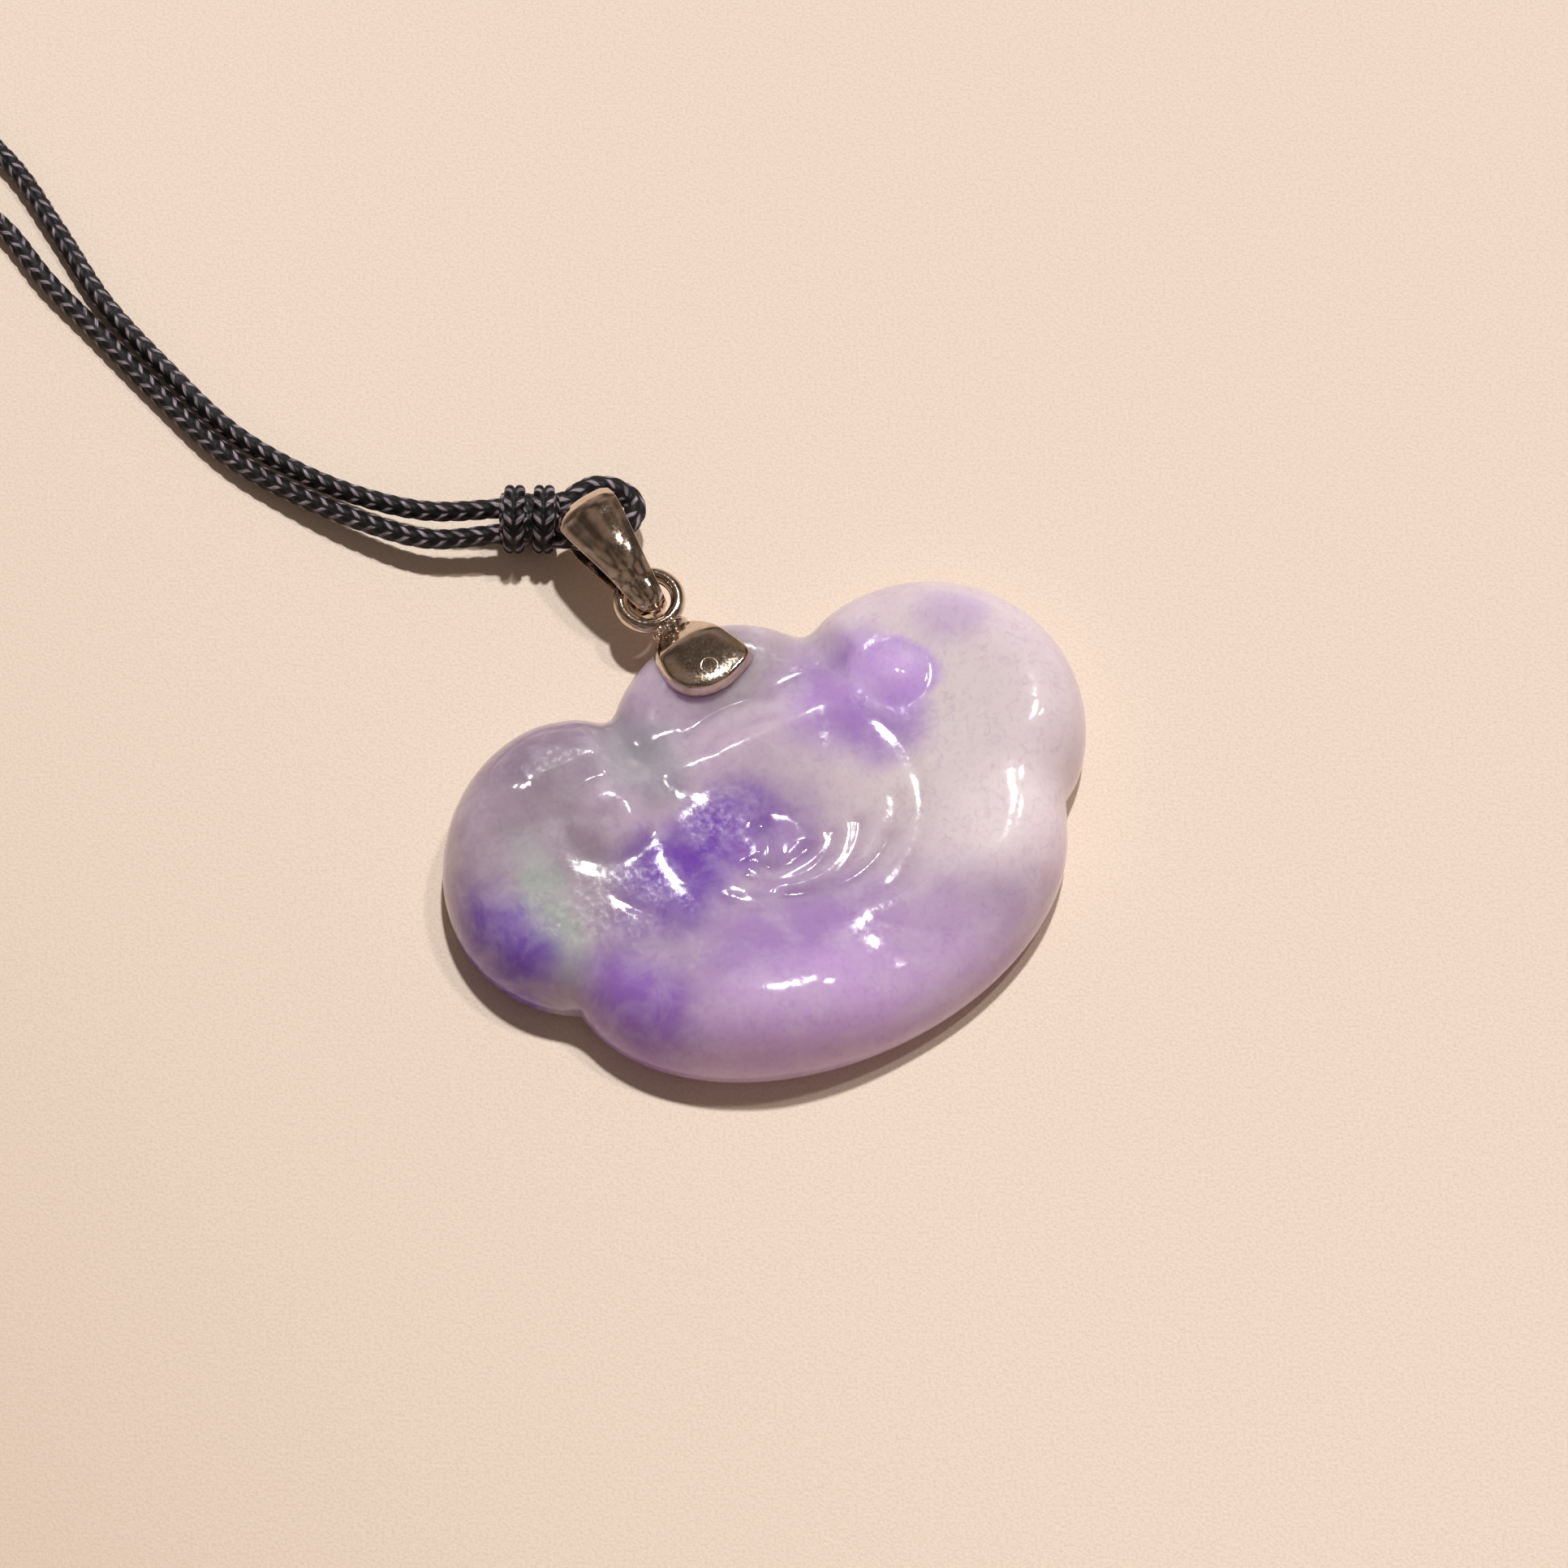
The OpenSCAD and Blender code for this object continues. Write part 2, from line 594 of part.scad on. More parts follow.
module loop_knot() {
    color(cord_colour) translate([knot_x, knot_y, knot_d / 2]) rotate([0, 90, 0]) {
        cylinder(d = knot_core_d, h = knot_core_l, center = true);
        for (side = [-1, 1]) translate([0, 0, side * wrap_gap / 2])
            rotate_extrude() translate([(knot_d - wrap_w) / 2, 0]) circle(d = wrap_w);
    }
}

module barrel_clasp() {
    from = UPPER_ROUTE[len(UPPER_ROUTE) - 1];
    to = LOWER_ROUTE[len(LOWER_ROUTE) - 1];
    heading = atan2(to.y - from.y, to.x - from.x);
    color(metal_colour) translate((from + to) / 2) rotate([0, 0, heading]) rotate([0, 90, 0]) {
        cylinder(d = clasp_d, h = clasp_l * 0.6, center = true);
        cylinder(d = clasp_d * 0.7, h = clasp_l, center = true);
    }
}

jade_carving();
pinch_cap();
cap_pin();
tapered_bail();
bail_cord();
loop_knot();
neck_cord_upper();
neck_cord_lower();
barrel_clasp();
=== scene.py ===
"""Looks of the carved jade pendant on its braided cord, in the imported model's frame.

Lengths are given in millimetres and scaled by MM. "Local" is the carving's own frame: x to its
right, y up to its crown, turned JADE_TURN from the row's +Y.
"""

import math

import bpy
import numpy as np
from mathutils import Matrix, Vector


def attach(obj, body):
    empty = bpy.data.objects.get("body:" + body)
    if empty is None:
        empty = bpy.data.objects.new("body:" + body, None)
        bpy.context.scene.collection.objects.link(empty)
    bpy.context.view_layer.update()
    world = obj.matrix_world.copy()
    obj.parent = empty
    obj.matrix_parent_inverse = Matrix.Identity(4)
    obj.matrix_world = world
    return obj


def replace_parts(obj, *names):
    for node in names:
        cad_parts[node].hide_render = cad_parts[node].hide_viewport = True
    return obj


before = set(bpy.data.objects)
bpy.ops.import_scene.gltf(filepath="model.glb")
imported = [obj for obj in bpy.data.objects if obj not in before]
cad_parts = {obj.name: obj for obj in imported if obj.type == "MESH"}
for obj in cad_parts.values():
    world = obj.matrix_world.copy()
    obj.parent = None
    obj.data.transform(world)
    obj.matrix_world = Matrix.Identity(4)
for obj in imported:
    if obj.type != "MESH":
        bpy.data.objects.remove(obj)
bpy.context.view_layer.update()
scene = bpy.context.scene
MM = 0.001
JADE_TURN = math.radians(26.5)


# Camera
# Its lens and sensor are in the camera's own millimetres
ELEVATION = math.radians(65)
DISTANCE = 330
AIM = (-0.13, 5.86, 0)
LENS, SENSOR = 106.02, 36
NEAR_CLIP = 10


def make_camera():
    """A camera at the photograph's viewing angle, aimed at the middle of its view."""
    data = bpy.data.cameras.new("camera")
    data.lens = LENS
    data.sensor_width = SENSOR
    data.clip_start = NEAR_CLIP * MM
    camera = bpy.data.objects.new("camera", data)
    back = Vector((0, -math.cos(ELEVATION), math.sin(ELEVATION)))
    camera.location = (Vector(AIM) + back * DISTANCE) * MM
    camera.rotation_euler = (math.pi / 2 - ELEVATION, 0, 0)
    scene.collection.objects.link(camera)
    scene.camera = camera


make_camera()


# Meshes
def add_mesh(name, points, faces, uvs=None, body="root"):
    """A smooth-shaded mesh object from millimetre points. uvs is one pair a corner."""
    mesh = bpy.data.meshes.new(name)
    mesh.from_pydata((np.asarray(points, float) * MM).tolist(), [], faces)
    if uvs is not None:
        layer = mesh.uv_layers.new(name="along")
        layer.data.foreach_set("uv", np.asarray(uvs, np.float32).ravel())
    mesh.polygons.foreach_set("use_smooth", [True] * len(mesh.polygons))
    mesh.validate()
    piece = bpy.data.objects.new(name, mesh)
    scene.collection.objects.link(piece)
    if body:
        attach(piece, body)
    return piece


def unit(v):
    """Vectors of length 1 in the directions of v's rows."""
    return v / np.linalg.norm(v, axis=-1, keepdims=True)


def smooth(t):
    """0 up to t = 0, 1 from t = 1 on, a smooth curve between."""
    k = np.clip(t, 0, 1)
    return k * k * (3 - 2 * k)


def ramp(t, start, over):
    """0 up to start, 1 from start + over on, a smooth curve between."""
    return smooth((t - start) / over)


def blurred(values, weights):
    """A closed row of values, each mixed with its neighbours on both sides by an odd row of weights."""
    half = len(weights) // 2
    return sum(np.roll(values, k - half, 0) * weight for k, weight in enumerate(weights))


# Cord
CORD_D = 1.5
# Height of a strand's middle where it lies on the surface
CORD_Z = 0.8
# Length of one V of the braid, how far its arms slant, and how blunt they end
V_PITCH, ARM_SLANT, ARM_BLUNT = 1.33, 0.72, 0.6
# Points of the routes, which the CAD's tubes follow too. The last number is the height.
UPPER_ROUTE = [
    (-20.9, 26.8, 2.6), (-26, 26.8, 2.2), (-31, 28.2, 1.8), (-36, 30.7, 1.3), (-41, 34.2, 1),
    (-46, 39.4), (-51, 45.2), (-55, 51.6), (-59, 57.6), (-64, 62),
    (-71, 63.6), (-85, 63.6), (-99, 63.6), (-112, 63.6), (-124, 63),
    (-134.5, 59), (-141, 51), (-143, 40), (-143, 26), (-143, 12),
    (-142.7, 4, 1.2), (-141, -0.9, 1.8), (-139.1, -2.9, 2.05),
]
LOWER_ROUTE = [
    (-20.9, 24.7, 2.6), (-26, 24.5, 2.2), (-31, 26.2, 1.8), (-36.3, 28.9, 1.3), (-41.4, 32.3, 1),
    (-46.7, 37.6), (-51.9, 43.3), (-55.5, 47.2), (-59.3, 52.1),
    (-63.5, 54.8), (-68.5, 54), (-71.5, 49.5), (-71, 42), (-68, 31),
    (-65, 19), (-64, 7), (-66, -3), (-72, -11), (-81, -15),
    (-92, -15.6), (-104, -15.6), (-116, -15.6), (-123, -15.6, 1.2),
    (-127.1, -14.7, 1.8), (-129, -12.9, 2.05),
]
LOOP_ROUTE = [
    (-16.3, 24.4, 2.7), (-15.4, 24.3, 2.8), (-14.3, 24, 3), (-13.1, 24.2, 3.1), (-12.2, 24.6, 3.1),
    (-11.4, 25.4, 3.1), (-11.0, 26.3, 2.9), (-11.1, 27.2, 2.7), (-11.8, 28, 2.6), (-12.9, 28.5, 2.6),
    (-14.2, 28.5, 2.6), (-15.2, 27.9, 2.6), (-15.8, 27.4, 2.6), (-16.3, 27.2, 2.6),
]
KNOT_MID = np.array([-18.7, 25.9, 2.6])
# Depth of the furrows between the yarns, of the cord, the knot's wraps and its core
CORD_RELIEF, WRAP_RELIEF, CORE_RELIEF = 0.17, 0.34, 0.25
# Distance between rings of points along the cords, and along the loop at the bail
CORD_STEP, LOOP_STEP = 0.105, 0.08
# The loop at the bail is drawn tight and looks thicker than the cord
LOOP_R = 0.87
# Radii of a wrap's middle line and of its tube, then each wrap's place along the knot and its lean
WRAP_R, WRAP_TUBE_R = 1.5, 1.12
NEAR_WRAP, FAR_WRAP = (1.08, 0.12), (-1.06, 0.1)
# Radius and length of the plug inside the wraps
CORE_R, CORE_L = 1.95, 4.0


def smooth_line(route, step):
    """Points a step apart on the same smooth line that the CAD's tube follows."""
    p = np.array([q if len(q) == 3 else (*q, CORD_Z) for q in route], float)
    p = np.vstack([p[:1], p, p[-1:]])
    parts_between = 40
    t = np.linspace(0, 1, parts_between, endpoint=False)[:, None]
    spans = [
        (2 * b + (c - a) * t + (2 * a - 5 * b + 4 * c - d) * t**2 + (3 * b - a - 3 * c + d) * t**3) / 2
        for a, b, c, d in zip(p[:-3], p[1:-2], p[2:-1], p[3:])
    ]
    line = np.vstack(spans + [p[-1:]])
    run = np.concatenate([[0], np.cumsum(np.linalg.norm(np.diff(line, axis=0), axis=1))])
    at = np.linspace(0, run[-1], round(run[-1] / step) + 1)
    return np.stack([np.interp(at, run, line[:, i]) for i in range(3)], 1), at


def braid(at, turn, pitch, columns):
    """Bulge (0 to 1) of a braid's yarns at a run and a turn, and the run across the yarns."""
    arm = turn * 2 * columns
    f = arm - np.floor(arm)
    zigzag = np.where(np.floor(arm) % 2 == 0, f, 1 - f)
    across = at / pitch + ARM_SLANT * zigzag
    u = across - np.floor(across)
    yarn = np.sqrt(np.clip(1 - (2 * u - 1) ** 2, 0, 1))
    return yarn * np.sin(np.pi * f) ** ARM_BLUNT, across


def braided_tube(name, line, at, side, radius, relief, columns=3, around=32, spin=0, twist=0, closed=False):
    """A tube along a line whose surface is a braid of V columns.

    at is the run of each point of the line, and side is the tube's own +x there. The braid is turned
    by spin and twists along the line, both in whole turns.
    """
    n = len(line)
    ahead = np.roll(line, -1, 0) - np.roll(line, 1, 0)
    if not closed:
        ahead[0], ahead[-1] = line[1] - line[0], line[-1] - line[-2]
    ahead = unit(ahead)
    aside = unit(side - (side * ahead).sum(1, keepdims=True) * ahead)
    above = np.cross(ahead, aside)
    k = np.arange(around) / around
    turn = (k[None, :] + spin + twist * at[:, None]) % 1.0
    pitch = at[-1] / round(at[-1] / V_PITCH) if closed else V_PITCH
    bulge, across = braid(at[:, None], turn, pitch, columns)
    r = radius - relief * (1 - bulge)
    phi = 2 * np.pi * k
    points = line[:, None] + r[..., None] * (
        aside[:, None] * np.cos(phi)[None, :, None] + above[:, None] * np.sin(phi)[None, :, None]
    )
    points = points.reshape(-1, 3)
    faces = []
    last = n - 1
    for i in range(last):
        for j in range(around):
            m = (j + 1) % around
            faces.append((i * around + j, i * around + m, (i + 1) * around + m, (i + 1) * around + j))
    lane = (turn * 2 * columns).reshape(-1)
    uv = np.stack([across.reshape(-1), lane], 1)
    uvs = uv[np.array(faces)].reshape(-1, 2)
    if not closed:
        points = np.vstack([points, line[:1], line[-1:]])
        for j in range(around):
            m = (j + 1) % around
            faces.append((m, j, n * around))
            faces.append((last * around + j, last * around + m, n * around + 1))
        uvs = np.vstack([uvs, np.zeros((6 * around, 2))])
    return add_mesh(name, points, faces, uvs)


def cord_piece(name, route, twist=0, step=CORD_STEP, radius=CORD_D / 2, tucked=(0.5, 0)):
    """A braided cord on a route, and its line. tucked is how far each end runs on past the route."""
    line, at = smooth_line(route, step)
    for end, other, length in ((0, 1, tucked[0]), (-1, -2, tucked[1])):
        line[end] = line[end] + unit(line[end] - line[other]) * length
    ahead = unit(np.gradient(line, axis=0))
    side = np.cross(np.array([0, 0, 1.0]), ahead)
    return braided_tube(name, line, at, side, radius, CORD_RELIEF, twist=twist), line


upper, upper_line = cord_piece("cord_upper", UPPER_ROUTE, twist=0.0025)
lower, lower_line = cord_piece("cord_lower", LOWER_ROUTE, twist=-0.002)
bail_loop, _ = cord_piece("cord_bail", LOOP_ROUTE, step=LOOP_STEP, radius=LOOP_R, tucked=(0.7, 0.7))


def knot_wrap(name, place, lean):
    """One wrap of the cord round the knot, a closed ring that leans a little."""
    n = 150
    a = np.linspace(0, 2 * np.pi, n)
    line = KNOT_MID + np.stack([place + lean * np.cos(a), WRAP_R * np.sin(a), WRAP_R * np.cos(a)], 1)
    line[-1] = line[0]
    at = a * (WRAP_R + WRAP_TUBE_R)
    side = np.tile(np.array([1.0, 0, 0]), (n, 1))
    return braided_tube(name, line, at, side, WRAP_TUBE_R, WRAP_RELIEF, around=48, spin=1 / 12, closed=True)


wraps = [knot_wrap("knot_wrap_near", *NEAR_WRAP), knot_wrap("knot_wrap_far", *FAR_WRAP)]


def knot_core():
    """The strands inside the knot, as a short braided plug that shows at both faces."""
    at = np.linspace(0, CORE_L, 40)
    line = KNOT_MID + np.stack([at - CORE_L / 2, 0 * at, 0 * at], 1)
    side = np.tile(np.array([0, -1.0, 0]), (len(at), 1))
    return braided_tube("knot_core", line, at, side, CORE_R, CORE_RELIEF, columns=5, around=60)


core = knot_core()
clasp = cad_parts["barrel_clasp"]
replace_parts(upper, "neck_cord_upper")
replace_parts(lower, "neck_cord_lower")
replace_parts(bail_loop, "bail_cord")
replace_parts(wraps[0], "loop_knot")


# Jade
# Its outline lies at RIM_H above the surface
JADE_W, JADE_H, RIM_H = 47.6, 34.6, 1.6
# Depth and width of a full groove, and the share of a lobe that is flat on the back
GROOVE_DEPTH, GROOVE_W, FLAT_SHARE = 0.5, 0.7, 0.72
# Lobes as ellipses: middle x, middle y, half width, half height, tilt in degrees. Widths along x are
# shares of JADE_W, heights along y are shares of JADE_H.
LOBES = [
    (0.008, -0.114, 0.396, 0.371, 0),
    (-0.280, 0.138, 0.212, 0.318, -28),
    (0.288, 0.114, 0.225, 0.324, 15),
    (0.013, 0.237, 0.199, 0.276, 0),
    (0.300, -0.045, 0.102, 0.180, 8),
]
# From x, y to x, y and radius as shares of JADE_W, the rise in millimetres, and the fullness
SWELLS = [
    (-0.021, -0.014, -0.021, -0.014, 0.050, 0.258, 2),
    (-0.229, 0.118, -0.229, 0.118, 0.066, 0.645, 4),
    (0.255, 0.146, 0.255, 0.146, 0.057, 0.7912, 2),
    (0.202, 0.128, 0.202, 0.128, 0.090, 0.1892, 2),
    (-0.356, 0.188, -0.340, 0.208, 0.036, 0.258, 2),
]
# Carved lines as parts of ellipses: middle x, y and radii as shares of JADE_W, first and last angle,
# shares of GROOVE_DEPTH and GROOVE_W, and how uneven the line is
LINES = [
    (0.017, 0.017, 0.196, 0.190, 285, 392, 0.3, 0.8, 0.5),
    (0.010, 0.013, 0.166, 0.140, 205, 352, 0.45, 0.9, 0.35),
    (0.030, 0.000, 0.138, 0.118, 225, 325, 0.5, 0.8, 0.3),
    (-0.004, -0.004, 0.113, 0.101, 215, 350, 0.55, 0.8, 0.4),
    (-0.015, -0.008, 0.084, 0.070, 200, 345, 0.5, 0.7, 0.45),
    (-0.021, -0.017, 0.050, 0.036, 180, 340, 0.5, 0.7, 0.4),
    (-0.090, 0.020, 0.060, 0.080, 300, 372, 0.5, 0.8, 0.1),
    (-0.229, 0.118, 0.072, 0.072, 0, 360, 0.18, 1.0, 0.6),
    (0.000, 0.158, 0.315, 0.315, 205, 238, 0.2, 0.6, 0.5),
    (0.336, 0.126, 0.431, 0.431, 222, 247, 0.2, 0.6, 0.5),
    (0.006, 0.138, 0.110, 0.085, 40, 140, 0.5, 0.8, 0.2),
    (0.006, 0.122, 0.078, 0.060, 35, 150, 0.4, 0.7, 0.2),
]


def lobe_share(lobe, x, y):
    """How far out a point lies in a lobe: 0 in its middle, 1 on its outline."""
    mid_x, mid_y, half_w, half_h, tilt = lobe
    dx, dy, t = x - mid_x * JADE_W, y - mid_y * JADE_H, math.radians(tilt)
    along = dx * math.cos(t) + dy * math.sin(t)
    across = dy * math.cos(t) - dx * math.sin(t)
    return np.hypot(along / (half_w * JADE_W), across / (half_h * JADE_H))


def lobe_reach(lobe, angle):
    """Distance from the origin to a lobe's outline at an angle, or 0 where it misses the lobe."""
    mid_x, mid_y, half_w, half_h, tilt = lobe
    mx, my, t = mid_x * JADE_W, mid_y * JADE_H, math.radians(tilt)
    a, b = half_w * JADE_W, half_h * JADE_H
    px = (-mx * math.cos(t) - my * math.sin(t)) / a
    py = (-my * math.cos(t) + mx * math.sin(t)) / b
    qx, qy = np.cos(angle - t) / a, np.sin(angle - t) / b
    qq, pq, pp = qx * qx + qy * qy, px * qx + py * qy, px * px + py * py
    inside = pq * pq - qq * (pp - 1)
    return np.where(inside < 0, 0, (np.sqrt(np.maximum(inside, 0)) - pq) / qq)


def outline_reach(angle):
    """Distance from the origin to the stone's outline at an angle."""
    return np.max([lobe_reach(lobe, angle) for lobe in LOBES], 0)


# The front is a plate with a rounded edge that dips towards its middle, in millimetres and slopes.
# A pair is where a ramp starts and the width that it takes.
LEVEL = 6.8
DIP_MID, DIP_SLOPE, DIP_ROUND, DIP_LEVEL_AT = (-0.3, -0.1), 0.15, 1.5, 13
# The left lobe is a slope of its own, which fades out downwards
LEFT_FROM, LEFT_OVER, LEFT_WIDENS, LEFT_WIDENS_FROM = 6.5, 3.4, 4, (0, 8)
LEFT_RISE, LEFT_SLOPE, LEFT_TOP, LEFT_FADE = 0.8, 0.18, 10.4, 9
# The right lobe falls away upwards
RIGHT_FROM, RIGHT_SLOPE, RIGHT_LOW = (3, 12), 0.12, -1
# The crown and a part low on the right are lower
CROWN_X, CROWN_STEP, CROWN_FROM, CROWN_SIDE = 0.5, 1.6, (6.9, 3.8), (8.1, 2.4)
LOW_STEP, LOW_LEFT, LOW_RIGHT, LOW_FROM = 1.1, (-3.5, 7), (10, 5), (8, 5)
# A hollow round the boss and a mound at the lower left: x, y, rise, reach squared
HILLS = [(-10.9, 5.6, -0.12, 10), (-7.8, -12.5, 0.8, 72.25)]
# Width of the rounded edge, how full it is, and how wide the creases between lobes are
EDGE_W, EDGE_POWER, SOFT_CREASE = 5.0, 2.3, 1.4
# The edge is wider at the foot, narrower at the crown and on the left
FOOT_WIDER, FOOT_FROM = 1.2, (5, 5)
CROWN_NARROWER, CROWN_EDGE_FROM, CROWN_EDGE_SIDE = 1.6, (8, 3), (8, 3)
LEFT_NARROWER, LEFT_EDGE_FROM = 1.2, (9, 4)
# Ornament fades out near the outline, and a line near its two ends
RIM_FADE, LINE_FADE = 0.2, 12
# Waves of a line's uneven depth in a whole turn, and how far its radius shifts them
WAVES, WAVE_SHIFT = 5, 60
# The back's hollow for the cap's leaf. Shares of JADE_W, JADE_H and LEAF_W.
LEAF_W = 6.4
HOLLOW_X, HOLLOW_DEPTH, HOLLOW_FROM, HOLLOW_SIDE = 0.013, 1.4, (0.25, 0.07), (0.75, 0.5)


def inside_by(x, y):
    """How far a point lies inside the outline, over softened creases."""
    tiny = 1e-6
    depth = None
    for lobe in LOBES:
        share = np.maximum(lobe_share(lobe, x, y), tiny)
        own = np.hypot(x - lobe[0] * JADE_W, y - lobe[1] * JADE_H) * (1 - share) / share
        if depth is None:
            depth = own
        else:
            near = np.maximum(SOFT_CREASE - np.abs(depth - own), 0) / SOFT_CREASE
            depth = np.maximum(depth, own) + near * near * SOFT_CREASE / 4
    return depth


def plate(x, y):
    """Height of the front's plate, without its rounded edge."""
    away = np.sqrt((x - DIP_MID[0]) ** 2 + (y - DIP_MID[1]) ** 2 + DIP_ROUND)
    left = ramp(-x, LEFT_FROM, LEFT_OVER + LEFT_WIDENS * ramp(-y, *LEFT_WIDENS_FROM))
    lean = LEFT_SLOPE * LEFT_FADE * np.tanh(np.maximum(LEFT_TOP - y, 0) / LEFT_FADE)
    height = LEVEL + (1 - left) * DIP_SLOPE * (away - DIP_LEVEL_AT) + left * (LEFT_RISE - lean)
    for mid_x, mid_y, rise, reach_squared in HILLS:
        height = height + rise * np.exp(-((x - mid_x) ** 2 + (y - mid_y) ** 2) / reach_squared)
    height = height - CROWN_STEP * ramp(y, *CROWN_FROM) * (1 - ramp(np.abs(x - CROWN_X), *CROWN_SIDE))
    height = height - RIGHT_SLOPE * ramp(x, *RIGHT_FROM) * np.maximum(y - RIGHT_LOW, 0)
    return height - LOW_STEP * ramp(x, *LOW_LEFT) * (1 - ramp(x, *LOW_RIGHT)) * ramp(-y, *LOW_FROM)


def edge_width(x, y):
    """Width of the rounded edge near a place."""
    foot, left = ramp(-y, *FOOT_FROM), ramp(-x, *LEFT_EDGE_FROM)
    crown = ramp(y, *CROWN_EDGE_FROM) * (1 - ramp(np.abs(x - CROWN_X), *CROWN_EDGE_SIDE))
    return EDGE_W + FOOT_WIDER * foot - CROWN_NARROWER * crown - LEFT_NARROWER * left


def domes(x, y):
    """Height of the front without its ornament."""
    edge = 1 - np.clip(1 - inside_by(x, y) / edge_width(x, y), 0, 1) ** EDGE_POWER
    return RIM_H + (plate(x, y) - RIM_H) * np.sqrt(edge)


def swell(row, x, y):
    """Rise of a swelling that runs from one point to another and is round at both."""
    from_x, from_y, to_x, to_y, radius, rise, fullness = row
    start = np.array([from_x, from_y]) * JADE_W
    run = np.array([to_x, to_y]) * JADE_W - start
    squared = run @ run
    t = np.clip(((x - start[0]) * run[0] + (y - start[1]) * run[1]) / squared, 0, 1) if squared else 0
    off = np.hypot(x - start[0] - t * run[0], y - start[1] - t * run[1])
    k = np.minimum(1, off / (radius * JADE_W))
    return rise * (1 - k**fullness) ** 2


def carved(row, x, y):
    """Depth of a carved line, which tapers at both ends and is uneven along its run."""
    mid_x, mid_y, rad_x, rad_y, first, last, cut, wide, uneven = row
    dx, dy = (x / JADE_W - mid_x) / rad_x, (y / JADE_W - mid_y) / rad_y
    angle = np.degrees(np.arctan2(dy, dx)) % 360
    angle = np.where(angle < first, angle + 360, angle)
    whole = last - first >= 360
    there = 1 if whole else ramp(angle, first, LINE_FADE) * ramp(-angle, -last, LINE_FADE)
    off = (np.hypot(dx, dy) - 1) * min(rad_x, rad_y) * JADE_W / (wide * GROOVE_W)
    wave = (1 + np.sin(np.radians(angle) * WAVES + WAVE_SHIFT * rad_x)) / 2
    return cut * GROOVE_DEPTH * np.exp(-off * off) * there * (1 - uneven * wave)


def front(x, y, share):
    """Height of the carved front. share is 0 at the origin and 1 at the outline."""
    raised = sum(swell(row, x, y) for row in SWELLS)
    cut = sum(carved(row, x, y) for row in LINES)
    return domes(x, y) + (raised - cut) * smooth((1 - share) / RIM_FADE)


def back(x, y):
    """Height of the back, which is flat but for its rounded rim and the cap's hollow."""
    rounds = []
    for lobe in LOBES:
        t = np.clip((lobe_share(lobe, x, y) - FLAT_SHARE) / (1 - FLAT_SHARE), 0, 1)
        rounds.append(RIM_H * (1 - np.sqrt(1 - t * t)))
    aside = np.abs(x - HOLLOW_X * JADE_W) / LEAF_W
    hollow = HOLLOW_DEPTH * ramp(y / JADE_H, *HOLLOW_FROM) * (1 - ramp(aside, *HOLLOW_SIDE))
    return np.maximum(np.min(rounds, 0), hollow)


def to_row(points):
    """Turns the carving's own points into the row's frame."""
    c, s = math.cos(JADE_TURN), math.sin(JADE_TURN)
    x, y, z = points.T
    return np.stack([x * c - y * s, x * s + y * c, z], 1)


def make_jade():
    """The stone as rings of points from the middle of its front over the outline to its back."""
    spokes, front_rings, back_rings = 420, 180, 30
    # The rings stand closer towards the outline
    crowding = 1.6
    angle = np.arange(spokes) * 2 * np.pi / spokes
    reach = outline_reach(angle)

    def ring(share, height):
        x, y = reach * share * np.cos(angle), reach * share * np.sin(angle)
        return np.stack([x, y, height(x, y) + 0 * x], 1)

    above = [1 - (1 - i / front_rings) ** crowding for i in range(1, front_rings)]
    under = [1 - (1 - i / back_rings) ** crowding for i in range(back_rings - 1, 0, -1)]
    zero = np.zeros(1)
    rings = [np.array([[0, 0, front(zero, zero, 0)[0]]])]
    rings += [ring(share, lambda x, y, share=share: front(x, y, share)) for share in above]
    rings += [ring(1, lambda x, y: RIM_H)]
    rings += [ring(share, back) for share in under]
    rings += [np.zeros((1, 3))]
    points = to_row(np.vstack(rings))
    bands = front_rings + back_rings - 2
    last = len(points) - 1
    nxt = [(k + 1) % spokes for k in range(spokes)]
    faces = [(0, 1 + k, 1 + nxt[k]) for k in range(spokes)]
    for i in range(bands):
        a = 1 + i * spokes
        faces += [(a + k, a + spokes + k, a + spokes + nxt[k], a + nxt[k]) for k in range(spokes)]
    faces += [(last, last - spokes + nxt[k], last - spokes + k) for k in range(spokes)]
    return add_mesh("jade_stone", points, faces)


jade = make_jade()
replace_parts(jade, "jade_carving")


# Material helpers
def new_material(name):
    """A material with its node tree and its main shader."""
    material = bpy.data.materials.new(name)
    material.use_nodes = True
    tree = material.node_tree
    shader = tree.nodes["Principled BSDF"]
    return material, tree, shader


def node(tree, kind, **values):
    """A shader node; keys that are sockets set their default, others are the node's own settings."""
    made = tree.nodes.new(kind)
    for key, value in values.items():
        socket = made.inputs.get(key.replace("_", " "))
        if socket is not None:
            socket.default_value = value
        else:
            setattr(made, key, value)
    return made


def linear(r, g, b):
    """Linear colour of an sRGB colour given as 0 to 255."""
    shares = [c / 255 for c in (r, g, b)]
    return tuple(((c + 0.055) / 1.055) ** 2.4 if c > 0.04045 else c / 12.92 for c in shares) + (1.0,)


def dress(piece, material):
    """Gives a piece its only material."""
    piece.data.materials.clear()
    piece.data.materials.append(material)


def linked(tree, made, vector):
    """A node with a vector linked into it."""
    tree.links.new(vector, made.inputs["Vector"])
    return made


def noise(tree, vector, scale, detail=3.0, roughness=0.55, distortion=0.0):
    """Noise from 0 to 1 over a vector."""
    made = node(
        tree, "ShaderNodeTexNoise", Scale=scale, Detail=detail, Roughness=roughness, Distortion=distortion
    )
    return linked(tree, made, vector).outputs["Fac"]


